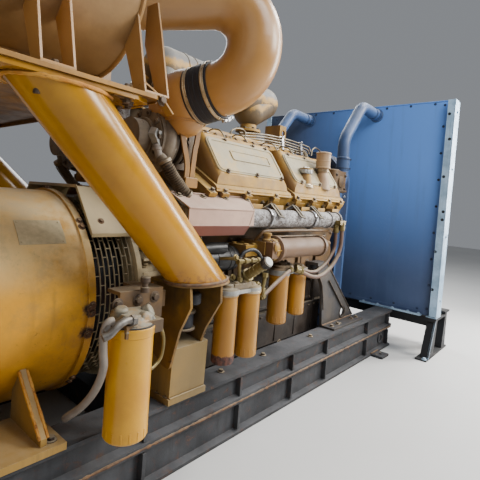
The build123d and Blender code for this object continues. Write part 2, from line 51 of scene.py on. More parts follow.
class Mat:
    def __init__(self, name):
        self.m = bpy.data.materials.new(name)
        self.m.use_nodes = True
        self.t = self.m.node_tree
        self.t.nodes.clear()
        self.obj = self.add("ShaderNodeTexCoord").outputs["Object"]
        g = self.add("ShaderNodeNewGeometry")
        self.nrm = g.outputs["Normal"]
        sep = self.add("ShaderNodeSeparateXYZ", {0: self.nrm})
        self.nz = sep.outputs["Z"]
        self.ny = sep.outputs["Y"]
        self.nx = sep.outputs["X"]
        sp = self.add("ShaderNodeSeparateXYZ", {0: self.obj})
        self.x, self.y, self.z = sp.outputs["X"], sp.outputs["Y"], sp.outputs["Z"]

    def add(self, kind, ins=None, **props):
        nd = self.t.nodes.new(kind)
        for k, v in props.items():
            setattr(nd, k, v)
        for k, v in (ins or {}).items():
            s = nd.inputs[k]
            if isinstance(v, bpy.types.NodeSocket):
                self.t.links.new(v, s)
            else:
                s.default_value = v
        return nd

    def noise(self, scale, detail=5.0, rough=0.6, vec=None, dist=0.0):
        return self.add("ShaderNodeTexNoise", {"Vector": vec or self.obj, "Scale": scale, "Detail": detail,
                                               "Roughness": rough, "Distortion": dist}).outputs[0]

    def map(self, x, a, b, lo=0.0, hi=1.0, smooth=True):
        nd = self.add("ShaderNodeMapRange", {0: x, 1: a, 2: b, 3: lo, 4: hi},
                      interpolation_type="SMOOTHSTEP" if smooth else "LINEAR")
        return nd.outputs[0]

    def math(self, op, a, b=0.0):
        return self.add("ShaderNodeMath", {0: a, 1: b}, operation=op).outputs[0]

    def mul(self, a, b):
        return self.math("MULTIPLY", a, b)

    def inv(self, a):
        return self.math("SUBTRACT", 1.0, a)

    def mix(self, f, a, b):
        nd = self.add("ShaderNodeMix", {0: f, 6: a, 7: b}, data_type="RGBA")
        return nd.outputs[2]

    def scale(self, c, v):
        nd = self.add("ShaderNodeVectorMath", {0: c}, operation="SCALE")
        if isinstance(v, bpy.types.NodeSocket):
            self.t.links.new(v, nd.inputs["Scale"])
        else:
            nd.inputs["Scale"].default_value = v
        return nd.outputs[0]

    def stretch(self, sx, sy, sz):
        return self.add("ShaderNodeVectorMath", {0: self.obj, 1: (sx, sy, sz)}, operation="MULTIPLY").outputs[0]

    def near(self, p, r0, r1, wob=0.03, ws=30.0):
        # 1 inside r1 of point p, 0 outside r0, with a ragged edge
        n = self.add("ShaderNodeTexNoise", {"Vector": self.obj, "Scale": ws, "Detail": 4.0}).outputs["Color"]
        c = self.add("ShaderNodeVectorMath", {0: n, 1: (0.5, 0.5, 0.5)}, operation="SUBTRACT").outputs[0]
        c = self.add("ShaderNodeVectorMath", {0: c}, operation="SCALE")
        c.inputs["Scale"].default_value = wob
        q = self.add("ShaderNodeVectorMath", {0: self.obj, 1: c.outputs[0]}, operation="ADD").outputs[0]
        d = self.add("ShaderNodeVectorMath", {0: q, 1: p}, operation="DISTANCE").outputs["Value"]
        return self.map(d, r0, r1)


RUST = col(96, 52, 28)
DARK = col(42, 34, 28)
DUST = col(196, 180, 150)
ALL = {}


def paint(name, c1, c2, vary=1.7, fine=13.0, contrast=0.2, dust=0.0, dust_c=DUST, dust_lo=0.3, grime_and_ao_shade=0.5, grime_and_ao_shade_c=DARK,
          chips=0.0, chip_c=RUST, chip_s=24.0, chip_t=0.665, edge=0.0, edge_c=DUST, streak=0.0, rough=0.42, rough2=0.62, metal=0.0,
          bump=0.25, grain=240.0, grain_w=0.25, coat=0.0, bevel=0.0022, extra=None, last=None, ao=0.09, stain=0.5, spec=0.4):
    m = Mat(name)
    big = m.noise(vary, 6.0, 0.62)
    c = m.mix(m.map(big, 0.36, 0.64), c1, c2)
    fn = m.noise(fine, 7.0, 0.66)
    c = m.scale(c, m.map(fn, 0.25, 0.75, 1.0 - contrast, 1.0 + contrast * 0.6, smooth=False))
    bev = m.add("ShaderNodeBevel", {"Radius": bevel}, samples=4).outputs[0]
    rough_v = m.map(fn, 0.3, 0.7, rough, rough2)
    if streak:
        st = m.noise(1.0, 5.0, 0.6, vec=m.stretch(26.0, 26.0, 1.9))
        side = m.inv(m.math("ABSOLUTE", m.nz))
        c = m.mix(m.mul(m.mul(m.map(st, 0.5, 0.74), side), streak), c, grime_and_ao_shade_c)
    if grime_and_ao_shade:
        # partly real grime, partly painted shade: ambient occlusion darkens creases, recesses and gaps between parts
        # towards the grime colour
        a = m.add("ShaderNodeAmbientOcclusion", {"Distance": ao}, samples=4).outputs["AO"]
        a = m.map(m.inv(a), 0.18, 0.92)
        g = m.mul(m.mul(a, m.map(fn, 0.2, 0.6, 0.55, 1.0)), grime_and_ao_shade)
        c = m.mix(g, c, grime_and_ao_shade_c)
        rough_v = m.math("ADD", rough_v, m.mul(g, 0.15))
    chip_m = None
    if chips:
        cn = m.noise(chip_s, 9.0, 0.72, dist=0.4)
        chip_m = m.mul(m.map(cn, chip_t, chip_t + 0.02), chips)
        halo = m.mul(m.map(cn, chip_t - 0.09, chip_t + 0.01), chips * stain)
        c = m.mix(halo, c, m.mix(0.5, RUST, c))
        c = m.mix(chip_m, c, chip_c)
        rough_v = m.math("ADD", rough_v, m.mul(chip_m, 0.25))
    if extra:
        c, rough_v = extra(m, c, rough_v)
    if dust:
        dn = m.map(m.noise(8.0, 6.0, 0.7), 0.32, 0.62, 0.35, 1.0)
        d = m.mul(m.mul(m.map(m.nz, dust_lo, 0.96), dn), dust)
        c = m.mix(d, c, dust_c)
        rough_v = m.math("ADD", rough_v, m.mul(d, 0.3))
    if edge:
        dt = m.add("ShaderNodeVectorMath", {0: bev, 1: m.nrm}, operation="DOT_PRODUCT").outputs["Value"]
        e = m.map(dt, 0.985, 0.86)
        e = m.mul(m.mul(e, m.map(m.noise(34.0, 6.0, 0.7), 0.42, 0.6)), edge)
        c = m.mix(e, c, edge_c)
    if last:
        c, rough_v = last(m, c, rough_v)
    gn = m.noise(grain, 3.0, 0.6)
    h = m.math("ADD", m.mul(fn, 0.6), m.mul(gn, grain_w))
    if chip_m is not None:
        h = m.math("SUBTRACT", h, m.mul(chip_m, 0.35))
    bmp = m.add("ShaderNodeBump", {"Strength": bump, "Distance": 0.004, "Height": h, "Normal": bev}).outputs[0]
    p = m.add("ShaderNodeBsdfPrincipled", {"Base Color": c, "Roughness": m.math("MINIMUM", rough_v, 0.95), "Normal": bmp})
    p.inputs["Metallic"].default_value = metal
    p.inputs["Specular IOR Level"].default_value = spec
    if coat:
        p.inputs["Coat Weight"].default_value = coat
        p.inputs["Coat Roughness"].default_value = 0.25
    m.add("ShaderNodeOutputMaterial", {0: p.outputs[0]})
    ALL[name] = m.m
    return m.m


# ------------------------------------------------------------ finishes
def barrel_extra(m, c, r):
    # the dark core behind the slotted ring is painted shade, added afterwards; here rust round the ring's two bad
    # bolts, a bright yellow patch, a pale band that is partly dust and partly painted light, a grey dusty band above
    # and dark specks
    for p in ((-0.868, -0.396, 0.648), (-0.868, -0.384, 0.567)):
        s = m.near(p, 0.034, 0.014, wob=0.04, ws=60.0)
        c = m.mix(s, c, col(52, 36, 32))
        r = m.math("MAXIMUM", r, m.mul(s, 0.85))
    c = m.mix(m.mul(m.near((-1.15, -0.39, 0.60), 0.30, 0.05, wob=0.25, ws=5.0), 0.5), c, col(224, 158, 26))
    # partly dust, partly painted light: a pale band high on the barrel is brightened where the lamps leave it in shadow
    pale = m.mul(m.map(m.noise(4.0, 7.0, 0.7), 0.28, 0.55), m.mul(m.map(m.z, 0.70, 0.86), m.map(m.z, 1.04, 0.95, 0.3, 1.0)))
    c = m.mix(m.mul(pale, 0.9), c, col(244, 204, 128))
    grey = m.mul(m.map(m.noise(7.0, 8.0, 0.75), 0.5, 0.62), m.map(m.z, 0.45, 0.72))
    c = m.mix(m.mul(grey, 0.3), c, col(132, 112, 84))
    sp = m.mul(m.map(m.noise(70.0, 8.0, 0.8), 0.61, 0.66), m.map(m.noise(5.0, 4.0), 0.42, 0.6))
    c = m.mix(m.mul(sp, 0.7), c, col(74, 50, 30))
    return c, r


def barrel_core_shade(m, c, r):
    # painted shade: the barrel under the slotted ring is painted nearly black and dark red, standing for the shaded
    # hollow behind the slots
    core = m.map(m.x, -0.849, -0.8485, smooth=False)
    cc = m.mix(m.map(m.noise(7.0), 0.5, 0.62), col(10, 11, 16), col(40, 18, 18))
    return m.mix(core, c, cc), r


yellow_barrel = paint("yellow_barrel", col(206, 148, 30), col(178, 122, 26), vary=2.6, fine=17, contrast=0.32, dust=0.75,
                      dust_c=col(186, 170, 140), dust_lo=0.1, grime_and_ao_shade=0.55, chips=0.9, chip_s=30, chip_t=0.655, chip_c=col(70, 48, 36),
                      edge=0.6, edge_c=col(222, 196, 140), streak=0.35, rough=0.5, rough2=0.72, bump=0.3, extra=barrel_extra,
                      last=barrel_core_shade)


def leg_extra(m, c, r):
    # painted shade: large noise patches of a browner tone stand in for the slanting tube's shaded flank; the rest keeps
    # the lighter base yellow
    n = m.map(m.noise(2.2, 4.0), 0.4, 0.6)
    c = m.mix(m.mul(n, 0.35), c, col(168, 98, 6))
    foot = m.mul(m.map(m.z, 0.83, 0.748), m.map(m.noise(40.0, 7.0, 0.7), 0.5, 0.58))
    c = m.mix(m.mul(foot, 0.6), c, RUST)
    return c, r


yellow_leg = paint("yellow_leg", col(182, 132, 1), col(144, 97, 1), vary=1.4, fine=9, contrast=0.1, dust=0.12, dust_c=col(214, 196, 150),
                   grime_and_ao_shade=0.5, grime_and_ao_shade_c=col(74, 44, 20), chips=0.5, chip_s=34, chip_t=0.70, edge=0.3, edge_c=col(226, 196, 140), streak=0.08,
                   rough=0.2, rough2=0.26, bump=0.04, coat=0.12, spec=0.4, extra=leg_extra)
def plate_extra(m, c, r):
    n = m.map(m.noise(6.0, 7.0, 0.7), 0.4, 0.6, 0.5, 1.0)
    # painted shade: faces turned downwards are darkened to brown in noise patches
    underside_shade = m.mul(m.map(m.nz, -0.3, -0.8), n)
    return m.mix(m.mul(underside_shade, 0.75), c, col(80, 54, 30)), r


yellow_plate = paint("yellow_plate", col(168, 118, 26), col(122, 84, 28), vary=3.0, fine=14, contrast=0.24, dust=0.45, dust_c=col(186, 172, 138), grime_and_ao_shade=0.85,
                     grime_and_ao_shade_c=col(60, 36, 20), chips=0.6, chip_s=26, chip_t=0.68, edge=0.8, edge_c=col(224, 186, 128), streak=0.3,
                     rough=0.42, rough2=0.62, bump=0.22, extra=plate_extra)
yellow_old = paint("yellow_old", col(196, 138, 44), col(160, 104, 40), vary=3.2, fine=18, contrast=0.3, dust=0.8, grime_and_ao_shade=0.85,
                   chips=0.9, chip_s=22, chip_t=0.65, edge=0.6, streak=0.5, rough=0.5, rough2=0.75, bump=0.3)


def duct_extra(m, c, r):
    for p in ((-0.4705, -0.716, 1.60), (-0.4605, -0.7405, 1.675)):
        s = m.near(p, 0.016, 0.010, wob=0.016, ws=80.0)
        c = m.mix(s, c, col(54, 40, 36))
    hi = m.mul(m.map(m.noise(1.3, 3.0), 0.4, 0.62), 0.45)
    c = m.mix(hi, c, col(178, 120, 46))
    return c, r


duct = paint("duct_paint", col(172, 132, 80), col(144, 110, 68), vary=2.2, fine=7, contrast=0.1, dust=0.4, dust_c=col(186, 172, 138),
             grime_and_ao_shade=0.45, grime_and_ao_shade_c=col(70, 46, 26), chips=0.25, chip_s=36, chip_t=0.72, edge=0.3, rough=0.3, rough2=0.42, bump=0.06,
             coat=0.25, extra=duct_extra)


def cross_extra(m, c, r):
    # faded to bare grey on top, with a ragged yellow-brown border below
    n = m.math("ADD", m.nz, m.mul(m.math("SUBTRACT", m.noise(16.0, 7.0, 0.7), 0.5), 1.1))
    c = m.mix(m.map(n, -0.02, 0.34), c, col(110, 109, 107))
    rim = m.mul(m.map(n, -0.25, 0.0), m.inv(m.map(n, 0.05, 0.4)))
    c = m.mix(m.mul(rim, 0.6), c, col(206, 158, 70))
    return c, r


crosspipe = paint("crossover_paint", col(106, 88, 62), col(86, 72, 54), vary=3.0, fine=15, contrast=0.25, dust=0.35, grime_and_ao_shade=0.45,
                  chips=0.5, chip_s=28, chip_t=0.68, rough=0.5, rough2=0.7, bump=0.18, extra=cross_extra)
def gold_back_face_shade(m, c, r):
    # painted shade: the faces turned to the generator (towards -X) are darkened to dull brown, standing in for the
    # shade on them
    n = m.map(m.noise(8.0, 6.0, 0.7), 0.3, 0.6, 0.6, 1.0)
    return m.mix(m.mul(m.mul(m.map(m.nx, -0.45, -0.85), n), 0.75), c, col(104, 80, 58)), r


gold = paint("engine_gold", col(182, 138, 38), col(142, 104, 34), vary=4.5, fine=16, contrast=0.26, dust=0.5, dust_c=col(180, 156, 108),
             extra=gold_back_face_shade, dust_lo=0.5, grime_and_ao_shade=0.8, grime_and_ao_shade_c=col(58, 40, 26), chips=0.7, chip_s=26, chip_t=0.665, chip_c=col(92, 62, 38), edge=0.7,
             edge_c=col(214, 190, 140), streak=0.25, rough=0.42, rough2=0.66, metal=0.0, bump=0.28)


def cap_extra(m, c, r):
    y = m.mul(m.map(m.noise(9.0, 8.0, 0.72), 0.5, 0.62), 0.6)
    c = m.mix(y, c, col(190, 158, 88))
    d = m.mul(m.map(m.noise(30.0, 6.0, 0.7), 0.6, 0.68), 0.5)
    c = m.mix(d, c, col(120, 108, 96))
    return c, r


cream = paint("cover_cream", col(170, 157, 126), col(148, 138, 112), vary=4.0, fine=22, contrast=0.2, dust=0.3, grime_and_ao_shade=0.6,
              grime_and_ao_shade_c=col(92, 76, 56), chips=0.5, chip_s=40, chip_t=0.66, chip_c=col(124, 104, 78), edge=0.6, edge_c=col(222, 206, 168),
              rough=0.5, rough2=0.75, bump=0.2, extra=cap_extra)
def low_block_shade(m, c, r):
    # painted shade: the low parts of the block and the pan are darkened to nearly black below z 0.74
    low = m.map(m.z, 0.74, 0.52)
    c = m.mix(m.mul(low, 0.85), c, m.mix(m.map(m.noise(9.0, 6.0, 0.7), 0.4, 0.62), col(28, 28, 30), col(54, 50, 48)))
    return c, r


brown = paint("brown_casting", col(112, 82, 46), col(74, 60, 42), vary=3.4, fine=16, contrast=0.34, dust=0.5, dust_c=col(150, 136, 112),
              grime_and_ao_shade=0.8, grime_and_ao_shade_c=col(34, 27, 24), chips=0.7, chip_s=22, chip_t=0.64, chip_c=col(60, 42, 32), edge=0.5,
              edge_c=col(160, 130, 84), streak=0.4, rough=0.5, rough2=0.75, bump=0.35, extra=low_block_shade)
cooler = paint("cooler_brown", col(110, 80, 54), col(86, 64, 46), vary=3.0, fine=11, contrast=0.12, dust=0.5, dust_c=col(140, 122, 104),
               grime_and_ao_shade=0.5, chips=0.4, chip_s=30, chip_t=0.69, edge=0.4, rough=0.45, rough2=0.6, bump=0.14)
casting = paint("dusty_casting", col(206, 190, 154), col(176, 156, 118), vary=5.0, fine=18, contrast=0.25, dust=0.4, grime_and_ao_shade=0.8,
                grime_and_ao_shade_c=col(74, 56, 36), chips=0.7, chip_s=24, chip_t=0.65, chip_c=col(120, 90, 54), edge=0.4, streak=0.35,
                rough=0.6, rough2=0.8, bump=0.4)
hood = paint("beige_sheet", col(184, 166, 126), col(166, 146, 108), vary=2.4, fine=10, contrast=0.1, dust=0.3, grime_and_ao_shade=0.4,
             grime_and_ao_shade_c=col(92, 78, 60), chips=0.3, chip_s=30, chip_t=0.7, edge=0.5, edge_c=col(90, 66, 50), streak=0.2, rough=0.45, rough2=0.6,
             bump=0.1)


def shield_extra(m, c, r):
    # the lower turned-in strip is darker and redder
    low = m.map(m.z, 0.953, 0.949)
    c = m.mix(m.mul(low, 0.85), c, col(128, 76, 70))
    sp = m.mul(m.map(m.noise(60.0, 6.0, 0.75), 0.6, 0.68), 0.35)
    c = m.mix(sp, c, col(118, 84, 76))
    return c, r


shield = paint("shield_sheet", col(186, 152, 132), col(168, 136, 118), vary=2.6, fine=16, contrast=0.12, dust=0.35, dust_c=col(206, 190, 172),
               grime_and_ao_shade=0.45, grime_and_ao_shade_c=col(80, 56, 48), chips=0.4, chip_s=34, chip_t=0.68, edge=0.6, edge_c=col(226, 208, 190), rough=0.45,
               rough2=0.62, bump=0.14, extra=shield_extra)
iron = paint("scaled_iron", col(170, 168, 167), col(118, 112, 108), vary=34.0, fine=95, contrast=0.6, dust=0.4, dust_c=col(190, 188, 184),
             dust_lo=0.0, grime_and_ao_shade=0.7, chips=0.9, chip_s=105, chip_t=0.545, chip_c=col(62, 54, 50), edge=0.3, rough=0.55, rough2=0.85, bump=0.9,
             grain=130.0, grain_w=0.6)
pipe_brown = paint("pipe_brown", col(124, 92, 54), col(92, 68, 44), vary=7.0, fine=28, contrast=0.25, dust=0.3, grime_and_ao_shade=0.7, rough=0.4,
                   rough2=0.6, bump=0.2)
head_brown = paint("head_brown", col(132, 112, 76), col(96, 78, 52), vary=12.0, fine=34, contrast=0.35, dust=0.4, dust_c=col(176, 168, 148), grime_and_ao_shade=0.85,
                   chips=0.6, chip_s=60, chip_t=0.6, chip_c=col(170, 160, 140), stain=0.1, rough=0.45, rough2=0.65, bump=0.35)
line_m = paint("line_steel", col(150, 140, 120), col(112, 100, 82), vary=9.0, fine=34, contrast=0.25, dust=0.3, grime_and_ao_shade=0.6, rough=0.35,
               rough2=0.5, metal=0.5, bump=0.2)
bellows_m = paint("bellows_steel", col(126, 112, 92), col(86, 72, 58), vary=9.0, fine=30, contrast=0.3, dust=0.3, grime_and_ao_shade=0.8, rough=0.35,
                  rough2=0.55, metal=0.5, bump=0.3)
bracket_m = paint("dark_bracket", col(58, 50, 44), col(38, 34, 32), vary=9.0, fine=34, contrast=0.35, dust=0.4, grime_and_ao_shade=0.4, rough=0.55,
                  rough2=0.75, edge=0.5, edge_c=col(120, 104, 84), bump=0.3)
turbo_m = paint("turbo_casting", col(118, 104, 86), col(78, 66, 54), vary=7.0, fine=24, contrast=0.4, dust=0.6, dust_c=col(178, 168, 150),
                grime_and_ao_shade=0.85, chips=0.9, chip_s=34, chip_t=0.62, chip_c=col(70, 48, 34), rough=0.55, rough2=0.8, bump=0.5)
alloy = paint("pale_alloy", col(176, 176, 172), col(140, 138, 132), vary=9.0, fine=30, contrast=0.25, dust=0.5, grime_and_ao_shade=0.8, rough=0.35,
              rough2=0.55, metal=0.35, bump=0.3)
steel = paint("bright_steel", col(190, 190, 192), col(160, 160, 162), vary=12.0, fine=40, contrast=0.2, grime_and_ao_shade=0.5, rough=0.22, rough2=0.4,
              metal=0.9, bump=0.1)
band = paint("clamp_steel", col(196, 180, 150), col(150, 130, 104), vary=8.0, fine=30, contrast=0.2, grime_and_ao_shade=0.4, rough=0.25, rough2=0.42,
             metal=0.8, bump=0.1)
bolt_m = paint("dark_bolt", col(98, 80, 62), col(64, 52, 44), vary=14.0, fine=44, contrast=0.3, dust=0.6, grime_and_ao_shade=0.5, rough=0.5, rough2=0.7,
               metal=0.3, bump=0.25)
rubber = paint("black_rubber", col(40, 42, 50), col(30, 31, 37), vary=5.0, fine=24, contrast=0.15, dust=0.45, dust_c=col(96, 94, 92),
               dust_lo=0.2, grime_and_ao_shade=0.2, rough=0.5, rough2=0.7, bump=0.12, edge=0.0)
hose = paint("grey_hose", col(132, 122, 112), col(104, 94, 86), vary=6.0, fine=28, contrast=0.2, dust=0.5, grime_and_ao_shade=0.6, rough=0.5, rough2=0.7,
             bump=0.2)
hose_brown = paint("brown_hose", col(116, 88, 72), col(90, 68, 58), vary=6.0, fine=28, contrast=0.2, dust=0.6, grime_and_ao_shade=0.6, rough=0.45,
                   rough2=0.65, bump=0.2)


def filt_extra(m, c, r):
    # paint worn off in a ragged edge at the foot of the first can
    n = m.math("ADD", m.z, m.mul(m.math("SUBTRACT", m.noise(38.0, 6.0, 0.7), 0.5), 0.05))
    box = m.mul(m.map(m.x, -0.28, -0.2795, 1.0, 0.0), m.map(n, 0.424, 0.419))
    c = m.mix(box, c, m.mix(m.map(m.noise(60.0), 0.4, 0.6), col(52, 30, 26), col(92, 52, 40)))
    r = m.math("MAXIMUM", r, m.mul(box, 0.7))
    return c, r


filt = paint("filter_yellow", col(172, 120, 30), col(148, 100, 26), vary=3.0, fine=12, contrast=0.1, dust=0.3, grime_and_ao_shade=0.5, grime_and_ao_shade_c=col(80, 50, 26),
             chips=0.45, chip_s=44, chip_t=0.70, rough=0.3, rough2=0.45, bump=0.06, coat=0.2, extra=filt_extra)
filt_bright = paint("filter_bright", col(208, 152, 20), col(188, 130, 16), vary=3.0, fine=10, contrast=0.08, dust=0.3, grime_and_ao_shade=0.35,
                    grime_and_ao_shade_c=col(110, 70, 26), chips=0.4, chip_s=46, chip_t=0.72, rough=0.26, rough2=0.38, bump=0.05, coat=0.3)
olive = paint("olive_brass", col(132, 116, 72), col(108, 94, 56), vary=10.0, fine=30, contrast=0.2, grime_and_ao_shade=0.5, rough=0.3, rough2=0.45,
              metal=0.55, bump=0.12)
knob_white = paint("knob_white", col(206, 204, 192), col(190, 188, 176), vary=12.0, fine=40, contrast=0.1, grime_and_ao_shade=0.3, rough=0.35, rough2=0.5,
                   bump=0.08)
tan = paint("breather_tan", col(160, 130, 96), col(136, 106, 78), vary=6.0, fine=20, contrast=0.15, dust=0.4, grime_and_ao_shade=0.5, chips=0.4,
            chip_s=40, chip_t=0.69, rough=0.42, rough2=0.6, bump=0.14)


def panel_glare_and_stains(m, c, r):
    # painted light: a brighter blue glare towards the upper right of the big sheet; also faint rubbed patches and long
    # soft stains
    # painted light: brighter blue towards -Y and towards the top
    g = m.mul(m.map(m.y, 0.75, -0.35), m.map(m.z, 0.45, 1.5, 0.12, 1.0))
    c = m.mix(g, c, col(98, 148, 224))
    sc = m.mul(m.near((1.695, -0.40, 1.05), 0.24, 0.04, wob=0.3, ws=6.0), m.map(m.noise(90.0, 5.0, 0.75), 0.58, 0.66))
    c = m.mix(m.mul(sc, 0.5), c, col(134, 154, 186))
    st = m.map(m.noise(1.0, 5.0, 0.6, vec=m.stretch(20.0, 14.0, 1.2)), 0.52, 0.7)
    c = m.mix(m.mul(st, 0.22), c, col(92, 110, 140))
    return c, r


navy = paint("radiator_navy", col(78, 86, 108), col(64, 72, 92), vary=1.2, fine=9, contrast=0.14, dust=0.4, dust_c=col(120, 130, 146),
             grime_and_ao_shade=0.35, chips=0.4, chip_s=30, chip_t=0.71, chip_c=col(116, 104, 96), edge=0.4, edge_c=col(120, 134, 158), streak=0.1,
             rough=0.42, rough2=0.58, bump=0.1, extra=panel_glare_and_stains)
navy_part = paint("navy_part", col(44, 62, 94), col(34, 46, 70), vary=3.0, fine=14, contrast=0.2, dust=0.55, dust_c=col(130, 132, 136),
                  grime_and_ao_shade=0.5, chips=0.5, chip_s=28, chip_t=0.68, edge=0.5, edge_c=col(128, 134, 146), streak=0.2, rough=0.45, rough2=0.6, bump=0.16)
coolant = paint("coolant_pipe", col(66, 92, 134), col(52, 72, 108), vary=4.0, fine=16, contrast=0.2, dust=0.7, dust_c=col(128, 134, 144),
                grime_and_ao_shade=0.4, chips=0.4, chip_s=34, chip_t=0.69, rough=0.4, rough2=0.55, bump=0.12)
galv = paint("galvanised", col(180, 208, 232), col(152, 182, 208), vary=9.0, fine=26, contrast=0.16, dust=0.3, grime_and_ao_shade=0.5, chips=0.5, chip_s=26,
             chip_t=0.67, chip_c=col(140, 112, 86), edge=0.4, edge_c=col(226, 228, 230), streak=0.25, rough=0.32, rough2=0.5, metal=0.2, bump=0.14)
rail_m = paint("rail_paint", col(62, 63, 66), col(40, 41, 44), vary=3.5, fine=20, contrast=0.45, dust=0.7, dust_c=col(88, 88, 90), grime_and_ao_shade=0.8,
               grime_and_ao_shade_c=col(28, 25, 24), chips=1.0, chip_s=18, chip_t=0.62, chip_c=col(84, 66, 52), edge=0.5, edge_c=col(122, 112, 98), streak=0.4,
               rough=0.65, rough2=0.88, bump=0.6)
black = paint("core_black", col(30, 32, 36), col(22, 22, 25), vary=5.0, fine=20, contrast=0.2, dust=0.4, dust_c=col(90, 88, 84), grime_and_ao_shade=0.4,
              edge=0.4, edge_c=col(110, 104, 98), rough=0.45, rough2=0.65, bump=0.2)
black_shiny = paint("black_enamel", col(26, 26, 28), col(16, 16, 18), vary=6.0, fine=18, contrast=0.2, dust=0.2, dust_c=col(84, 80, 76),
                    grime_and_ao_shade=0.3, chips=0.4, chip_s=70, chip_t=0.62, chip_c=col(176, 172, 164), edge=0.6, edge_c=col(140, 134, 126), rough=0.35,
                    rough2=0.5, bump=0.12, stain=0.1)
bars = paint("grille_bars", col(172, 158, 126), col(132, 116, 88), vary=8.0, fine=30, contrast=0.25, dust=0.4, grime_and_ao_shade=0.35, chips=0.6, chip_s=40,
             chip_t=0.64, chip_c=col(116, 84, 52), rough=0.45, rough2=0.6, bump=0.2)
weld = paint("weld_rust", col(112, 76, 44), col(72, 48, 32), vary=26.0, fine=60, contrast=0.4, dust=0.4, grime_and_ao_shade=0.6, rough=0.6, rough2=0.85,
             bump=0.6)
weld_yellow = paint("weld_yellow", col(206, 150, 60), col(180, 116, 34), vary=20.0, fine=60, contrast=0.3, grime_and_ao_shade=0.6, chips=0.7, chip_s=60,
                    chip_t=0.6, rough=0.45, rough2=0.6, bump=0.5)
fin_m = paint("radiator_fins", col(58, 62, 68), col(40, 42, 46), vary=4.0, fine=30, contrast=0.3, dust=0.5, grime_and_ao_shade=0.3, rough=0.5, rough2=0.7,
              metal=0.4, bump=0.1)

aux_brown = paint("aux_bracket_paint", col(112, 84, 50), col(78, 60, 42), vary=6.0, fine=18, contrast=0.28, dust=0.35, grime_and_ao_shade=0.8, chips=0.7, chip_s=30,
                  chip_t=0.64, chip_c=col(74, 54, 38), edge=0.5, edge_c=col(176, 146, 96), rough=0.45, rough2=0.65, bump=0.25)
bracket_y = paint("bracket_yellow", col(132, 96, 30), col(92, 68, 32), vary=5.0, fine=16, contrast=0.3, dust=0.25, dust_c=col(160, 146, 116), grime_and_ao_shade=0.9,
                  grime_and_ao_shade_c=col(46, 40, 34), chips=0.8, chip_s=30, chip_t=0.63, chip_c=col(70, 52, 38), edge=0.5, edge_c=col(176, 150, 104), streak=0.5,
                  rough=0.45, rough2=0.65, bump=0.22)
foot_y = paint("foot_yellow", col(160, 124, 56), col(122, 100, 60), vary=3.0, fine=12, contrast=0.25, dust=0.3, grime_and_ao_shade=0.8, grime_and_ao_shade_c=col(60, 54, 46),
               chips=0.5, chip_s=26, chip_t=0.66, edge=0.4, streak=0.4, rough=0.45, rough2=0.65, bump=0.2)



def lump_extra(m, c, r):
    # pale paint with yellow patches and bare dark spots
    y = m.map(m.noise(14.0, 7.0, 0.7), 0.5, 0.58)
    c = m.mix(m.mul(y, 0.85), c, col(140, 104, 50))
    d = m.map(m.noise(26.0, 7.0, 0.72), 0.56, 0.62)
    c = m.mix(m.mul(d, 0.8), c, col(58, 52, 46))
    return c, r


support_m = paint("support_paint", col(78, 70, 62), col(52, 52, 55), vary=4.0, fine=18, contrast=0.3, dust=0.2, dust_c=col(60, 66, 76), grime_and_ao_shade=0.8,
                  grime_and_ao_shade_c=col(30, 28, 28), chips=0.6, chip_s=24, chip_t=0.65, chip_c=col(64, 48, 38), edge=0.4, edge_c=col(140, 124, 96), streak=0.3,
                  rough=0.5, rough2=0.72, bump=0.3)
cleaner = paint("cleaner_paint", col(168, 132, 84), col(130, 98, 60), vary=2.4, fine=9, contrast=0.15, dust=0.5, dust_c=col(190, 176, 144),
                grime_and_ao_shade=0.6, grime_and_ao_shade_c=col(66, 46, 30), chips=0.4, chip_s=32, chip_t=0.7, edge=0.4, streak=0.3, rough=0.4, rough2=0.55, bump=0.1)
plate_beige = paint("plate_beige", col(206, 188, 148), col(180, 164, 128), vary=6.0, fine=60, contrast=0.25, dust=0.3, grime_and_ao_shade=0.3, rough=0.45,
                    rough2=0.6, bump=0.06)
fit_steel = paint("fitting_steel", col(132, 128, 122), col(84, 78, 74), vary=16.0, fine=40, contrast=0.35, dust=0.2, grime_and_ao_shade=0.8, rough=0.3,
                  rough2=0.5, metal=0.6, bump=0.25)
lump = paint("aux_head_paint", col(140, 134, 116), col(96, 90, 76), vary=9.0, fine=30, contrast=0.3, dust=0.3, grime_and_ao_shade=0.9, rough=0.4, rough2=0.6,
             bump=0.35, extra=lump_extra)

FINISH = {
    "base_rail_left": rail_m, "base_rail_right": rail_m, "cross_members": rail_m, "generator_barrel": yellow_barrel,
    "generator_end_housing": yellow_old, "terminal_box": yellow_old, "vent_grille": bars, "guard_hood": hood,
    "flywheel_housing": casting, "machine_feet": foot_y, "oil_pan": brown, "engine_block": brown, "cylinder_heads": gold,
    "valve_covers": gold, "exhaust_manifolds": iron, "heat_shields": shield, "turbochargers": turbo_m, "aftercooler_housing": gold,
    "crossover_pipe": crosspipe, "lifting_bracket": gold, "exhaust_outlet": iron, "intake_elbows": duct, "rubber_sleeves": rubber,
    "intake_ducts": duct, "air_cleaners": cleaner, "air_cleaner_straps": duct, "air_cleaner_platform": yellow_plate,
    "platform_legs": yellow_leg, "leg_brackets": bracket_y, "oil_cooler": cooler, "filter_heads": alloy, "spin_on_filters": filt,
    "auxiliary_filter": filt_bright, "auxiliary_filter_bracket": aux_brown, "primer_pump": olive, "primer_plunger": black_shiny,
    "front_supports": support_m, "front_cover": brown, "thermostat_housings": brown, "fan_guard": navy_part, "coolant_pipes": coolant,
    "oil_filler": gold, "breather": tan, "radiator_panel": navy, "radiator_core": fin_m, "radiator_tanks": navy_part,
    "radiator_shroud": navy_part, "radiator_side_channels": galv, "radiator_guard": navy_part, "radiator_feet": black,
    "starter_motor": black_shiny,
}
for name, ob in NODE.items():
    ob.data.materials.clear()
    ob.data.materials.append(FINISH.get(name, brown))


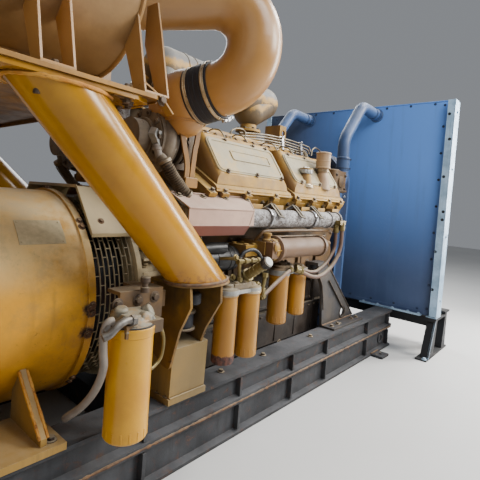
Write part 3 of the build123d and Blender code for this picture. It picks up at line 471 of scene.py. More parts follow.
# ------------------------------------------------------------ camera, floor, light
def view_axes():
    psi, th, rho = math.radians(40.6), math.radians(1.93), math.radians(4.3)
    c, s = math.cos, math.sin
    f = Vector((c(psi) * c(th), s(psi) * c(th), -s(th)))
    r0 = Vector((s(psi), -c(psi), 0.0))
    u0 = Vector((c(psi) * s(th), s(psi) * s(th), c(th)))
    return r0 * c(rho) + u0 * s(rho), u0 * c(rho) - r0 * s(rho), f


RT, UP, FW = view_axes()
cam = bpy.data.objects.new("camera", bpy.data.cameras.new("camera"))
bpy.context.scene.collection.objects.link(cam)
EYE = Vector((-1.600, -1.660, 1.060))
cam.matrix_world = Matrix(((RT.x, UP.x, -FW.x, EYE.x), (RT.y, UP.y, -FW.y, EYE.y), (RT.z, UP.z, -FW.z, EYE.z), (0, 0, 0, 1)))
cam.data.sensor_width = 36.0
cam.data.lens = 36.0 * 408.5 / 480.0
cam.data.shift_y = -26.5 / 480.0
cam.data.clip_start = 0.02
cam.data.clip_end = 60.0
bpy.context.scene.camera = cam

fm = bpy.data.meshes.new("floor")
fm.from_pydata([(-14, -14, 0), (14, -14, 0), (14, 14, 0), (-14, 14, 0)], [], [(0, 1, 2, 3)])
floor = bpy.data.objects.new("floor", fm)
bpy.context.scene.collection.objects.link(floor)
fmat = Mat("floor_plain")
fc = fmat.mix(fmat.map(fmat.noise(0.6), 0.3, 0.7), col(206, 205, 202), col(198, 197, 195))
fp = fmat.add("ShaderNodeBsdfPrincipled", {"Base Color": fc, "Roughness": 0.8})
fmat.add("ShaderNodeOutputMaterial", {0: fp.outputs[0]})
fm.materials.append(fmat.m)


def area(name, loc, target, size, power, colour=(1, 1, 1), tall=None):
    ld = bpy.data.lights.new(name, "AREA")
    ld.energy = power
    ld.size = size
    if tall:
        ld.shape = "RECTANGLE"
        ld.size_y = tall
    ld.color = colour
    lo = bpy.data.objects.new(name, ld)
    bpy.context.scene.collection.objects.link(lo)
    lo.location = loc
    lo.rotation_euler = (Vector(target) - Vector(loc)).to_track_quat("-Z", "Y").to_euler()
    return lo


area("key", (2.8, -4.4, 3.6), (-0.2, -0.3, 0.9), 1.8, 330, (1.0, 0.97, 0.92))
area("window", (3.0, -0.9, 4.2), (-0.7, -0.5, 1.0), 1.0, 130, (1.0, 0.98, 0.95))
area("opening", (3.0, -1.7, 2.05), (-0.75, -0.66, 1.0), 0.4, 140, (1.0, 0.98, 0.94), tall=2.4)
area("panel_wash", (0.0, -2.6, 3.2), (1.72, -0.25, 1.1), 1.4, 70, (0.86, 0.93, 1.0))
area("sky_back", (3.2, 3.2, 4.2), (0.2, 0.0, 1.0), 3.5, 300, (0.9, 0.95, 1.0))
area("fill", (-4.2, -3.2, 2.6), (-0.4, -0.2, 0.8), 3.0, 34, (1.0, 0.96, 0.9))
w = bpy.data.worlds.new("studio")
bpy.context.scene.world = w
w.use_nodes = True
w.node_tree.nodes["Background"].inputs[0].default_value = (0.80, 0.84, 0.90, 1)
w.node_tree.nodes["Background"].inputs[1].default_value = 0.3


# ------------------------------------------------------------ mesh helper, in millimetres
def vec(p):
    return Vector((float(p[0]), float(p[1]), float(p[2])))


def basis(a, ref=None):
    a = vec(a).normalized()
    r = vec(ref) if ref is not None else (Vector((0, 0, 1)) if abs(a.z) < 0.9 else Vector((1, 0, 0)))
    u = (r - a * r.dot(a)).normalized()
    return a, u, a.cross(u)


def curve(pts, step):
    # smooth line through the points
    p = [vec(q) for q in pts]
    if len(p) == 2 or step <= 1:
        return p
    p = [p[0] * 2 - p[1]] + p + [p[-1] * 2 - p[-2]]
    out = []
    for i in range(1, len(p) - 2):
        for k in range(step):
            t = k / step
            a, b, c, d = p[i - 1], p[i], p[i + 1], p[i + 2]
            out.append(0.5 * ((2 * b) + (c - a) * t + (2 * a - 5 * b + 4 * c - d) * t * t + (3 * b - a - 3 * c + d) * t ** 3))
    out.append(p[-2])
    return out


def rounded(pts, r, n=4):
    # polygon corners cut to arcs
    out = []
    m = len(pts)
    for i in range(m):
        p = Vector(pts[i])
        a = Vector(pts[i - 1]) - p
        b = Vector(pts[(i + 1) % m]) - p
        k = min(r, a.length * 0.45, b.length * 0.45)
        a, b = a.normalized() * k, b.normalized() * k
        for j in range(n + 1):
            t = j / n
            q = (p + a) * (1 - t) ** 2 + p * 2 * t * (1 - t) + (p + b) * t * t
            out.append((q.x, q.y))
    return out


class B:
    def __init__(self):
        self.bm = bmesh.new()

    def vs(self, pts):
        return [self.bm.verts.new(vec(p) / 1000.0) for p in pts]

    def face(self, vs):
        if len(set(vs)) >= 3:
            self.bm.faces.new(vs)

    def loft(self, rings, caps=(True, True), closed=False):
        rr = [self.vs(r) for r in rings]
        pairs = list(zip(rr, rr[1:])) + ([(rr[-1], rr[0])] if closed else [])
        for a, b in pairs:
            n = len(a)
            for i in range(n):
                self.face([a[i], a[(i + 1) % n], b[(i + 1) % n], b[i]])
        if not closed:
            if caps[0]:
                self.face(rr[0][::-1])
            if caps[1]:
                self.face(rr[-1])
        return self

    def lathe(self, p, a, prof, n=24, ref=None, closed=False, ph=0.0):
        a, u, v = basis(a, ref)
        p = vec(p)
        rings = []
        for r, d in prof:
            rings.append([p + a * d + (u * math.cos(2 * math.pi * i / n + ph) + v * math.sin(2 * math.pi * i / n + ph)) * max(r, 0.05) for i in range(n)])
        return self.loft(rings, closed=closed)

    def disc(self, p, a, r, h, c=1.0, n=24):
        return self.lathe(p, a, [(r, 0), (r, h - c), (r - c, h)], n)

    def hollow(self, p, a, r0, r1, h, n=32, c=0.6):
        return self.lathe(p, a, [(r0, 0), (r1, 0), (r1, h - c), (r1 - c, h), (r0, h)], n, closed=True)

    def tube(self, pts, r, n=10, step=6, caps=True):
        p = curve(pts, step)
        m = len(p)
        t = [(p[min(i + 1, m - 1)] - p[max(i - 1, 0)]).normalized() for i in range(m)]
        u = basis(t[0])[1]
        rings = []
        for i in range(m):
            u = (u - t[i] * u.dot(t[i])).normalized()
            w = t[i].cross(u)
            rad = r(i / (m - 1)) if callable(r) else r
            rings.append([p[i] + (u * math.cos(2 * math.pi * k / n) + w * math.sin(2 * math.pi * k / n)) * rad for k in range(n)])
        return self.loft(rings, caps=(caps, caps))

    def strip(self, pts, wide, thick, across, step=1):
        # flat bar along a line; across is the direction of its width
        p = curve(pts, step)
        m = len(p)
        ac = vec(across).normalized()
        rings = []
        for i in range(m):
            t = (p[min(i + 1, m - 1)] - p[max(i - 1, 0)]).normalized()
            w = (ac - t * ac.dot(t)).normalized()
            k = t.cross(w)
            rings.append([p[i] + w * (wide / 2 * a) + k * (thick / 2 * b) for a, b in ((-1, -1), (1, -1), (1, 1), (-1, 1))])
        return self.loft(rings)

    def box(self, x0, x1, y0, y1, z0, z1):
        return self.loft([[(x0, y0, z0), (x1, y0, z0), (x1, y1, z0), (x0, y1, z0)], [(x0, y0, z1), (x1, y0, z1), (x1, y1, z1), (x0, y1, z1)]])

    def obox(self, c, u, v, su, sv, sn):
        u = vec(u).normalized()
        v = vec(v)
        v = (v - u * v.dot(u)).normalized()
        w = u.cross(v)
        c = vec(c)
        q = [(-1, -1), (1, -1), (1, 1), (-1, 1)]
        return self.loft([[c + u * (a * su / 2) + v * (b * sv / 2) + w * (k * sn / 2) for a, b in q] for k in (-1, 1)])

    def poly(self, o, u, v, pts, t0, t1, c=0.0):
        # polygon in the plane o, u, v, from t0 to t1 along its normal, with an optional chamfer on the far face
        u, v, o = vec(u).normalized(), vec(v).normalized(), vec(o)
        w = u.cross(v)
        rings = [[o + u * a + v * b + w * t0 for a, b in pts]]
        if c:
            cx = sum(a for a, b in pts) / len(pts)
            cy = sum(b for a, b in pts) / len(pts)
            hx = max(abs(a - cx) for a, b in pts)
            hy = max(abs(b - cy) for a, b in pts)
            rings.append([o + u * a + v * b + w * (t1 - c) for a, b in pts])
            rings.append([o + u * (cx + (a - cx) * (1 - c / hx)) + v * (cy + (b - cy) * (1 - c / hy)) + w * t1 for a, b in pts])
        else:
            rings.append([o + u * a + v * b + w * t1 for a, b in pts])
        return self.loft(rings)

    def rim(self, o, u, v, outer, inner, t0, t1):
        # a flat frame between two outlines with the same number of points
        u, v, o = vec(u).normalized(), vec(v).normalized(), vec(o)
        w = u.cross(v)
        put = lambda q, t: [o + u * a + v * b + w * t for a, b in q]
        return self.loft([put(outer, t0), put(outer, t1), put(inner, t1), put(inner, t0)], closed=True)

    def bolt(self, p, a, r=9.0, h=7.0, wash=1.45, wt=2.0, ph=0.0, socket=False):
        a, u, v = basis(a)
        p = vec(p)
        if wash:
            self.lathe(p - a * 1.0, a, [(r * wash, 0), (r * wash, wt + 0.5), (r * wash - 0.8, wt + 1.0)], 16)
        if socket:
            self.lathe(p + a * wt, a, [(r, 0), (r, h - 1), (r - 1, h), (r * 0.55, h), (r * 0.5, h - 3)], 16)
        else:
            self.lathe(p + a * (wt if wash else -1.0), a, [(r, 0), (r, h - 1.2), (r * 0.86, h)], 6, ph=ph)
            self.lathe(p + a * (wt if wash else -1.0), a, [(r * 0.84, h - 1.0), (r * 0.80, h + 0.5)], 12)
        return self

    def bead(self, pts, r, seed=1, n=7, step=1, lump=0.35, closed=True):
        # weld bead: a lumpy tube with overlapping scales
        rnd = random.Random(seed)
        p = curve(pts, step)
        m = len(p)
        rings = []
        for i in range(m):
            nx, pv = p[(i + 1) % m] if closed else p[min(i + 1, m - 1)], p[(i - 1) % m] if closed else p[max(i - 1, 0)]
            t = (nx - pv).normalized()
            _, u, w = basis(t, (0.13, 0.31, 0.94))
            rad = r * (1.0 + lump * (rnd.random() - 0.5) + 0.18 * (i % 2))
            rings.append([p[i] + (u * math.cos(2 * math.pi * k / n) + w * math.sin(2 * math.pi * k / n)) * rad for k in range(n)])
        return self.loft(rings, closed=closed)


PIECES = []


def make(name, b, mat, body="set", mirror=False, bevel=0.0, sharp=38, seg=2, mats=None):
    bm = b.bm
    if mirror:
        geom = bmesh.ops.duplicate(bm, geom=bm.verts[:] + bm.edges[:] + bm.faces[:])["geom"]
        for g in geom:
            if isinstance(g, bmesh.types.BMVert):
                g.co.y = -g.co.y
    bmesh.ops.recalc_face_normals(bm, faces=bm.faces[:])
    me = bpy.data.meshes.new(name)
    bm.to_mesh(me)
    bm.free()
    me.materials.append(mat)
    for p in me.polygons:
        p.use_smooth = True
    me.set_sharp_from_angle(angle=math.radians(sharp))
    ob = bpy.data.objects.new(name, me)
    bpy.context.scene.collection.objects.link(ob)
    if bevel:
        md = ob.modifiers.new("edge", "BEVEL")
        md.width = bevel / 1000.0
        md.segments = seg
        md.limit_method = "ANGLE"
        md.angle_limit = math.radians(35)
        md.harden_normals = True
    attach(ob, body)
    PIECES.append(ob)
    return ob


def on_round(x, ang, r, cz=650.0):
    # a point and its outward direction on a cylinder about the shaft; ang in degrees, 0 is -Y, 90 is up
    a = math.radians(ang)
    d = (0.0, -math.cos(a), math.sin(a))
    return (x, d[1] * r, cz + d[2] * r), d


# ------------------------------------------------------------ generator: slotted ring, hood, plate, end, box
b = B()
RX0, RX1, RP = -850.0, -672.0, 19.4
b.lathe((RX0 - 1, 0, 650), (1, 0, 0), [(356, 0), (369, 0), (369, 9), (367.5, 10), (356, 10)], 96, closed=True)
b.lathe((RX1 - 9, 0, 650), (1, 0, 0), [(356, 0), (369, 0), (369, 9), (356, 9)], 96, closed=True)
ribx = [RX0 + 14 + i * RP for i in range(8)]
for x in ribx:
    b.lathe((x, 0, 650), (1, 0, 0), [(362, 1.6), (367.5, 1.8), (367.5, 4.2), (362, 4.4)], 96, closed=True)
edges_x = [RX0 + 6] + ribx + [RX1 - 8]
for i, (xa, xb) in enumerate(zip(edges_x, edges_x[1:])):
    for k in range(34):
        t = 360.0 / 34 * (k + (0.5 if i % 2 else 0.0))
        p, d = on_round((xa + xb) / 2 + 2, t, 364.5)
        b.obox(p, (1, 0, 0), d, xb - xa + 1, 4.0, 3.4)
g = make("vent_bars", b, bars)
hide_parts("vent_grille")

b = B()
for t in (2, 47, 92, 137, 182, 227, 272, 317):
    p, d = on_round(-862, t, 399)
    b.bolt(p, d, 9, 6, 1.5, 1.5, ph=t)
for y, z in ((-399, 655), (-389, 561)):
    n = Vector((0, y, z - 650)).normalized()
    b.bolt((-868, y, z), n, 9, 5, 1.6, 1.5)
for sx in (-794, -704):
    b.bolt((sx, -302, 944), (0, -0.785, 0.62), 8, 6, 1.6, 1.5)
for sx in (-800, -720):
    b.bolt((sx, -150, 1066), (0, 0, 1), 7, 5, 1.6, 1.5)
make("generator_ring_bolts", b, weld, mirror=True)

b = B()
for x in (-846.5, -669.5):
    pts = [(x, -338, 898), (x, -205, 1066), (x, 205, 1066), (x, 338, 898)]
    b.strip(pts, 12, 2.6, (0, 0, 1))
b.strip([(-848, -339, 896), (-668, -339, 896)], 14, 3, (0, -0.2, 1))
b.strip([(-848, 339, 896), (-668, 339, 896)], 14, 3, (0, 0.2, 1))
make("hood_lips", b, hood, bevel=0.6)

b = B()
b.lathe((-1310, 0, 650), (1, 0, 0), [(389, -5), (392.4, -3), (393, 0), (392.4, 3), (389, 5)], 96, closed=True)
for x in (-1600, -1330, -1060):
    b.bead([(x - 12, -520, 330), (x - 12, -436, 402), (x - 12, -352, 474)], 4.5, 3, closed=False, step=10)
    b.bead([(x + 12, -520, 330), (x + 12, -436, 402), (x + 12, -352, 474)], 4.5, 4, closed=False, step=10)
make("barrel_welds", b, weld_yellow, mirror=True)

b = B()
for x0, x1 in ((-1080, -930),):
    rows = []
    for i in range(9):
        t = 34.0 + i * 1.75
        p, d = on_round(0, t, 391.6)
        q, _ = on_round(0, t, 389.0)
        rows.append((p, q))
    ring = []
    for p, q in rows:
        ring.append([(x0, p[1], p[2]), (x1, p[1], p[2]), (x1, q[1], q[2]), (x0, q[1], q[2])])
    b.loft(ring)
    for x in (x0 + 8, x1 - 8):
        for t in (35.3, 46.7):
            p, d = on_round(x, t, 391.4)
            b.lathe(p, d, [(4, 0), (3.6, 1.6), (2.0, 2.6), (0.2, 3.0)], 12)
make("data_plate_blank", b, plate_beige)

b = B()
# end housing: air louvres, bolt circle, bearing cap
for k in range(12):
    t = 360 / 12 * k + 15
    p, d = on_round(-1990, t, 303)
    tv = Vector(d)
    s = Vector((1, 0, 0)).cross(tv)
    for j in range(3):
        c = vec((-1991, 0, 650)) + tv * (210 + 36 * j)
        b.obox(c, s, tv, 78 + 20 * j, 13, 7)
for k in range(16):
    p, d = on_round(-1992, 22.5 * k, 332)
    b.bolt((-1945 - 0.0, d[1] * 356, 650 + d[2] * 356), d, 8, 5, 1.4, 1.5)
for k in range(8):
    a = math.radians(45 * k)
    b.bolt((-2049, 118 * math.cos(a), 650 + 118 * math.sin(a)), (-1, 0, 0), 9, 6, 0)
b.lathe((-2049, 0, 650), (-1, 0, 0), [(62, 0), (62, 3), (56, 5), (20, 6), (0.1, 6)], 36)
make("end_housing_fittings", b, yellow_old, bevel=1.5)

b = B()
for x in (-1890, -1780, -1640, -1500, -1390):
    for y in (-290, 290):
        b.bolt((x, y * 1.0, 1296), (0, 0, 1), 7, 5, 1.5, 1.2)
for y in (-150, 0, 150):
    for x in (-1892, -1388):
        b.bolt((x, y, 1296), (0, 0, 1), 7, 5, 1.5, 1.2)
make("terminal_lid_screws", b, bolt_m)
b = B()
for s in (-1, 1):
    b.poly((-1640, s * 290.5, 1155), (s, 0, 0), (0, 0, 1), rounded([(-190, -95), (190, -95), (190, 95), (-190, 95)], 16), 0, 5, 1.2)
    b.poly((-1640, s * 295, 1155), (s, 0, 0), (0, 0, 1), rounded([(-150, -58), (150, -58), (150, 58), (-150, 58)], 14), 0, 3, 1.0)
b.poly((-1900.5, 0, 1150), (0, -1, 0), (0, 0, 1), rounded([(-150, -70), (150, -70), (150, 70), (-150, 70)], 12), 0, 5, 1.2)
b.tube([(-1900, -298, 1000), (-1640, -298, 1000), (-1380, -298, 1000)], 4, step=1)
make("terminal_box_panels", b, yellow_old, bevel=1.0)
b = B()
for y in (-96, 0, 96):
    b.lathe((-1905, y, 1150), (-1, 0, 0), [(24, 0), (24, 8), (18, 12), (0.1, 12)], 6)
make("terminal_box_plugs", b, black)
b = B()
for s in (-1, 1):
    for dx in (-178, 178):
        for dz in (-83, 83):
            b.bolt((-1640 + dx, s * 295, 1155 + dz), (0, s, 0), 6, 4, 1.5, 1.2)
make("terminal_panel_screws", b, bolt_m)

# ------------------------------------------------------------ flywheel housing and feet
b = B()
for k in range(16):
    t = 22.5 * k
    if 245 < t < 295:
        continue
    p, d = on_round(-450, t, 400)
    b.bolt((-449.5, p[1], p[2]), (1, 0, 0), 9, 7, 1.5, 2)
    p, d = on_round(-672, t, 377)
    b.bolt((-650, p[1], p[2]), (1, 0, 0), 8, 7, 1.5, 2, ph=k)
make("flywheel_bolts", b, bolt_m)
b = B()
for k in range(16):
    t = 22.5 * k
    if 240 < t < 300:
        continue
    for dx in (-120, -30):
        p, d = on_round(-560 + dx + 74, t, 345)
        tv = Vector(d)
        b.lathe(p, d, [(26, -4), (24, 3), (18, 7), (17, 14), (14, 16), (0.1, 16)], 20)
    # deep ribs between the two flanges
    p, d = on_round(-561, t, 368)
    b.obox(p, (1, 0, 0), Vector((1, 0, 0)).cross(Vector(d)), 150, 12, 46)
for t in (-12, 12, 34):
    p, d = on_round(-560, t, 346)
    b.obox(p, (1, 0, 0), Vector((1, 0, 0)).cross(Vector(d)), 120, 44, 14)
make("flywheel_ribs", b, casting, bevel=3.5, seg=2)

b = B()
for x in (-606, -452):
    for y in (-520, -470, -350):
        b.bolt((x, y, 309), (0, 0, 1), 11, 9, 1.5, 3)
for x in (-1630, -1360, -1300, -1030):
    b.bolt((x, -500, 307), (0, 0, 1), 12, 10, 1.5, 3)
    b.bolt((x, -430, 307), (0, 0, 1), 12, 10, 1.5, 3)
make("foot_bolts", b, bolt_m, mirror=True)
b = B()
b.bead([(-616, -543, 310), (-527, -543, 310), (-438, -543, 310)], 3.5, 5, closed=False, step=12)
make("foot_beam_face", b, foot_y, mirror=True, bevel=1.2)

# ------------------------------------------------------------ leg, brackets, platform
ax3 = Vector((-587, -44, 568)).normalized()
LEGF = Vector((-530, -556, 748))


def ellipse_at(z, r, n=60):
    # section of the slanting tube at height z
    c = LEGF + ax3 * ((z - 748.0) / ax3.z)
    h = Vector((ax3.x, ax3.y, 0.0)).normalized()
    k = Vector((-h.y, h.x, 0.0))
    ring = []
    for i in range(n):
        w = 2 * math.pi * i / n
        ring.append(c + h * (r / ax3.z * math.cos(w)) + k * (r * math.sin(w)))
    return ring


b = B()
b.bead(ellipse_at(751, 97), 5.5, 9)
make("leg_foot_weld", b, weld, mirror=True)
b = B()
b.bead(ellipse_at(1311, 97), 5.5, 10)
seam = []
for i in range(60):
    t = i / 59.0
    c = LEGF + ax3 * (20 + t * 770)
    side = Vector((0.62, -0.72, 0.0))
    side = (side - ax3 * side.dot(ax3)).normalized()
    seam.append(c + side * 93.2)
b.bead(seam, 1.8, 12, closed=False, lump=0.4)
b.bead([(-650, -444, 560), (-650, -444, 650), (-650, -444, 730)], 4, 6, closed=False, step=12)
for x, y0, y1 in ((-619, -438, -618), (-465, -438, -620)):
    b.bead([(x, y0, 736), (x, (y0 + y1) / 2, 736), (x, y1, 736)], 4.0, 7, closed=False, step=16)
make("leg_welds", b, weld_yellow, mirror=True)
b = B()
b.lathe((-548, -508, 560), (0, 0, 1), [(0.1, 0)] + [(38, 0), (42, 6), (42, 52), (38, 58), (0.1, 58)], 32)
b.lathe((-548, -560, 660), (0, 0, 1), [(0.1, 0), (26, 0), (30, 4), (30, 36), (26, 40), (0.1, 40)], 28)
make("leg_rubber_mounts", b, rubber, mirror=True)
b = B()
for z in (554, 618):
    b.lathe((-548, -508, z), (0, 0, 1), [(0.1, 0), (50, 0), (50, 6), (0.1, 6)], 32)
b.bolt((-548, -508, 624), (0, 0, 1), 12, 12, 1.5, 3)
for x, z in ((-596, 640), (-596, 530), (-500, 660)):
    b.bolt((x, -444.5, z), (0, -1, 0), 11, 9, 1.5, 3)
make("leg_mount_steel", b, bolt_m, mirror=True)

b = B()
# underside fittings of the platform: slotted washer plates, hanging bolt, bolt cluster, edge angle
for cx, cy, w, h in ((-1057, -650, 78, 24), (-971, -697 + 22, 42, 18)):
    b.rim((cx, cy, 1316), (1, 0, 0), (0, -1, 0), rounded([(-w / 2 - 9, -h / 2 - 8), (w / 2 + 9, -h / 2 - 8), (w / 2 + 9, h / 2 + 8), (-w / 2 - 9, h / 2 + 8)], 14),
          rounded([(-w / 2, -h / 2), (w / 2, -h / 2), (w / 2, h / 2), (-w / 2, h / 2)], 11), 0, 3)
b.lathe((-1188, -650, 1316), (0, 0, -1), [(0.1, -2), (34, -2), (34, 5), (22, 8), (0.1, 8)], 28)
make("platform_washer_plates", b, yellow_plate, mirror=True, bevel=0.8)
b = B()
b.lathe((-1188, -650, 1309), (0, 0, -1), [(9, 0), (9, 34), (8, 36)], 16)
b.bolt((-1188, -650, 1308), (0, 0, -1), 14, 12, 1.4, 3)
for x, y in ((-950, -655), (-925, -628), (-905, -596), (-905, -540), (-1330, -650), (-1330, -510)):
    b.bolt((x, y, 1316), (0, 0, -1), 11, 9, 1.5, 3)
    b.lathe((x, y, 1342), (0, 0, 1), [(7, 0), (7, 14), (6, 16)], 12)
    b.bolt((x, y, 1341), (0, 0, 1), 11, 9, 1.4, 2)
make("platform_bolts", b, bolt_m, mirror=True)
b = B()
for cx, cy, w, h in ((-1057, -650, 78, 24), (-971, -675, 42, 18)):
    b.poly((cx, cy, 1316), (1, 0, 0), (0, -1, 0), rounded([(-w / 2 - 2, -h / 2 - 2), (w / 2 + 2, -h / 2 - 2), (w / 2 + 2, h / 2 + 2), (-w / 2 - 2, h / 2 + 2)], 11), -0.5, 0.8)
make("platform_slots", b, black, mirror=True)
b = B()
b.strip([(-914, -672, 1367), (-893, -672, 1358), (-849, -678, 1332), (-814, -684, 1296)], 26, 6, (0, -1, 0.2), step=3)
b.strip([(-853, -660, 1327), (-853, 660, 1327)], 6, 4, (0, 0, 1))
for x in (-1960, -1700, -1420, -880):
    b.strip([(x, -640, 1322), (x, 640, 1322)], 16, 6, (0, 0, 1))
make("platform_edge", b, yellow_plate, bevel=1.0)
b = B()
b.bolt((-849, -682, 1332), (0, -1, 0.1), 12, 9, 1.4, 2)
for sx in (-872, -1158, -1500, -1850):
    b.bolt((sx, -668, 1348), (0, 0, 1), 10, 8, 1.5, 2)
    b.bolt((sx - 20, -400, 1445), (0, -1, 0), 1, 1, 0)
make("strap_bolts", b, bolt_m, mirror=True)

b = B()
# foot bracket: head plate rim under the tube and the folded edge of the gussets
for x, pts in ((-625, [(-627, 738), (-636, 672), (-586, 575), (-548, 434)]), (-471, [(-629, 738), (-633, 671), (-561, 552), (-528, 462)])):
    b.strip([(x, y + 1, z) for y, z in pts], 12, 3, (1, 0, 0))
make("gusset_edges", b, bracket_y, mirror=True, bevel=1.0)

# ------------------------------------------------------------ intake: bands, seams, cans
SC = Vector((-500, -508, 1457))
SAX = Vector((0.25, -0.93, 0.23)).normalized()
b = B()
for d0 in (-45, 31):
    b.hollow(SC + SAX * d0, SAX, 108.5, 111.5, 14, 64)
b.hollow(SC + SAX * (-41), SAX, 108, 112.8, 2, 64)
b.hollow(SC + SAX * 36, SAX, 108, 112.8, 2, 64)
make("sleeve_bands", b, band, mirror=True)
b = B()
_, su, sv = basis(SAX)
for d0, ang in ((-38, 200), (38, 214)):
    a = math.radians(ang)
    # worm housing on each band, towards the camera side
    rad = Vector((0.55, 0.45, 0.62))
    rad = (rad - SAX * rad.dot(SAX)).normalized()
    c = SC + SAX * d0 + rad * 117
    tan_ = SAX.cross(rad)
    b.obox(c, tan_, SAX, 34, 16, 13)
    b.tube([c - tan_ * 40, c + tan_ * 40], 5.0, 12, 1)
    b.lathe(c + tan_ * 40, tan_, [(9, 0), (9, 6), (7.5, 8)], 6)
q0, q1 = vec((-452, -563, 1358)), vec((-404, -545, 1377))
qa = (q1 - q0).normalized()
b.tube([q0 - qa * 16, q0 + qa * 90], 4.5, 12, 1)
b.obox(q0 + qa * 34, qa, SAX, 30, 17, 16)
b.lathe(q0 + qa * 70, qa, [(9.5, 0), (9.5, 9), (7.5, 11)], 6)
b.hollow(q0 + qa * 58, qa, 5, 9, 9, 16)
b.obox(q0 + qa * 2, qa, SAX, 22, 16, 9)
make("sleeve_clamp_screws", b, steel, mirror=True)
b = B()
for d0 in (-20, 0, 20):
    b.hollow(SC + SAX * (d0 - 3), SAX, 108, 110.6, 6, 64)
make("sleeve_ribs", b, rubber, mirror=True)

PC = SC + SAX * (-98)
b = B()
b.lathe((PC.x, PC.y, PC.z - 84), (0, 0, -1), [(80, -3), (84.5, 0), (84.5, 5), (80, 8), (74, 8)], 48)
b.hollow(PC + SAX * 32, SAX, 100, 104, 7, 56)
b.lathe((PC.x, PC.y, PC.z - 142), (0, 0, -1), [(20, -8), (18, 2), (14, 4), (13, 11), (0.1, 12)], 20)
make("intake_elbow_flanges", b, duct, mirror=True, bevel=0.8)
b = B()
b.strip([(-556, -432, 1330), (-530, -432, 1245), (-510, -430, 1182), (-512, -430, 1094)], 24, 8, (1, 0, 0.3), step=4)
b.strip([(-462, -432, 1330), (-468, -430, 1270), (-474, -430, 1240), (-483, -430, 1120)], 24, 8, (1, 0, 0.2), step=4)
b.poly((-480, -440, 1115), (1, 0, 0), (0, 0, 1), rounded([(-46, -24), (20, -24), (20, 18), (-46, 18)], 8), -6, 6, 1.5)
make("pot_support_bars", b, yellow_plate, mirror=True, bevel=1.2)

b = B()
# air cleaners: end dish, closing rings, toggle latches, dust valve, rain ribs
for s0 in (-1940, -1495, -1467, -905):
    b.lathe((s0, -400, 1672), (1, 0, 0), [(249, -7), (254, -6), (257.5, -3), (257.5, 3), (254, 6), (249, 7)], 96, closed=True)
b.lathe((-1958, -400, 1672), (-1, 0, 0), [(215, -3), (215, 4), (208, 8), (60, 10), (56, 2), (0.1, 2)], 72)
for k in range(6):
    a = math.radians(60 * k + 20)
    d = Vector((0, math.cos(a), math.sin(a)))
    p = Vector((-1481, -400, 1672)) + d * 259
    b.obox(p, (1, 0, 0), d.cross(Vector((1, 0, 0))), 66, 22, 7)
    b.tube([p + Vector((-30, 0, 0)), p + d * 9, p + Vector((30, 0, 0))], 4, 8, 4)
make("air_cleaner_rings", b, duct, mirror=True, bevel=0.8)
b = B()
b.lathe((-1961, -400, 1672), (-1, 0, 0), [(16, 0), (16, 10), (10, 14), (8, 24), (0.1, 25)], 20)
for k in (0, 1):
    a = math.pi * k
    b.obox((-1974, -400 + 26 * math.cos(a), 1672 + 26 * math.sin(a)), (0, math.cos(a), math.sin(a)), (1, 0, 0), 36, 6, 12)
b.lathe((-1900, -400, 1424), (0, 0, -1), [(34, -6), (34, 8), (26, 20), (24, 40), (30, 52), (8, 56)], 28)
make("air_cleaner_fittings", b, black_shiny, mirror=True, bevel=0.8)
# ------------------------------------------------------------ valve covers
FV = Vector((0, 130, 182)).normalized()
FN = Vector((0, -182, 130)).normalized()
b = B()
for x0, x1, px0, px1 in ((-335, 200, -187, 107), (272, 800, 330, 742)):
    o = Vector(((x0 + x1) / 2, -430, 1170))
    h = (x1 - x0) / 2 - 16
    # polygon faces: u = +X, v up the face, normal = u x v
    out = rounded([(-h, 8), (h, 8), (h, 205), (-h, 205)], 34, 6)
    inn = rounded([(-h + 34, 34), (h - 34, 34), (h - 34, 180), (-h + 34, 180)], 22, 6)
    b.poly(o, (1, 0, 0), FV, out, -8, 4.5, 2.5)
    # raised border on the face
    b.rim(o, (1, 0, 0), FV, rounded([(-h + 8, 16), (h - 8, 16), (h - 8, 197), (-h + 8, 197)], 30, 6), rounded([(-h + 22, 30), (h - 22, 30), (h - 22, 183), (-h + 22, 183)], 22, 6), 4, 8)
make("cover_faces", b, cream, mirror=True, bevel=1.2)
b = B()
for x0, x1, w in ((-187, 107, 1),):
    o = Vector(((x0 + x1) / 2, -430, 1170))
    h = (x1 - x0) / 2
    b.rim(o, (1, 0, 0), FV, rounded([(-h, 84), (h, 84), (h, 142), (-h, 142)], 12, 5), rounded([(-h + 6, 90), (h - 6, 90), (h - 6, 136), (-h + 6, 136)], 8, 5), 4, 9)
    b.poly(o, (1, 0, 0), FV, rounded([(-h + 4, 88), (h - 4, 88), (h - 4, 138), (-h + 4, 138)], 9, 5), 3, 6, 0.8)
make("cover_blank_panel", b, cream, mirror=True, bevel=0.8)
b = B()
for x, v_ in [(-186, 200), (25, 200), (130, 200), (-263, 14), (-55, 14), (150, 14), (348, 14), (547, 14), (729, 14), (345, 200), (520, 200), (740, 200)]:
    b.bolt(Vector((x, -430, 1170)) + FV * v_ + FN * 4.5, FN, 8.5, 8, 1.55, 2.5, ph=x)
make("cover_bolts", b, bolt_m, mirror=True)
b = B()
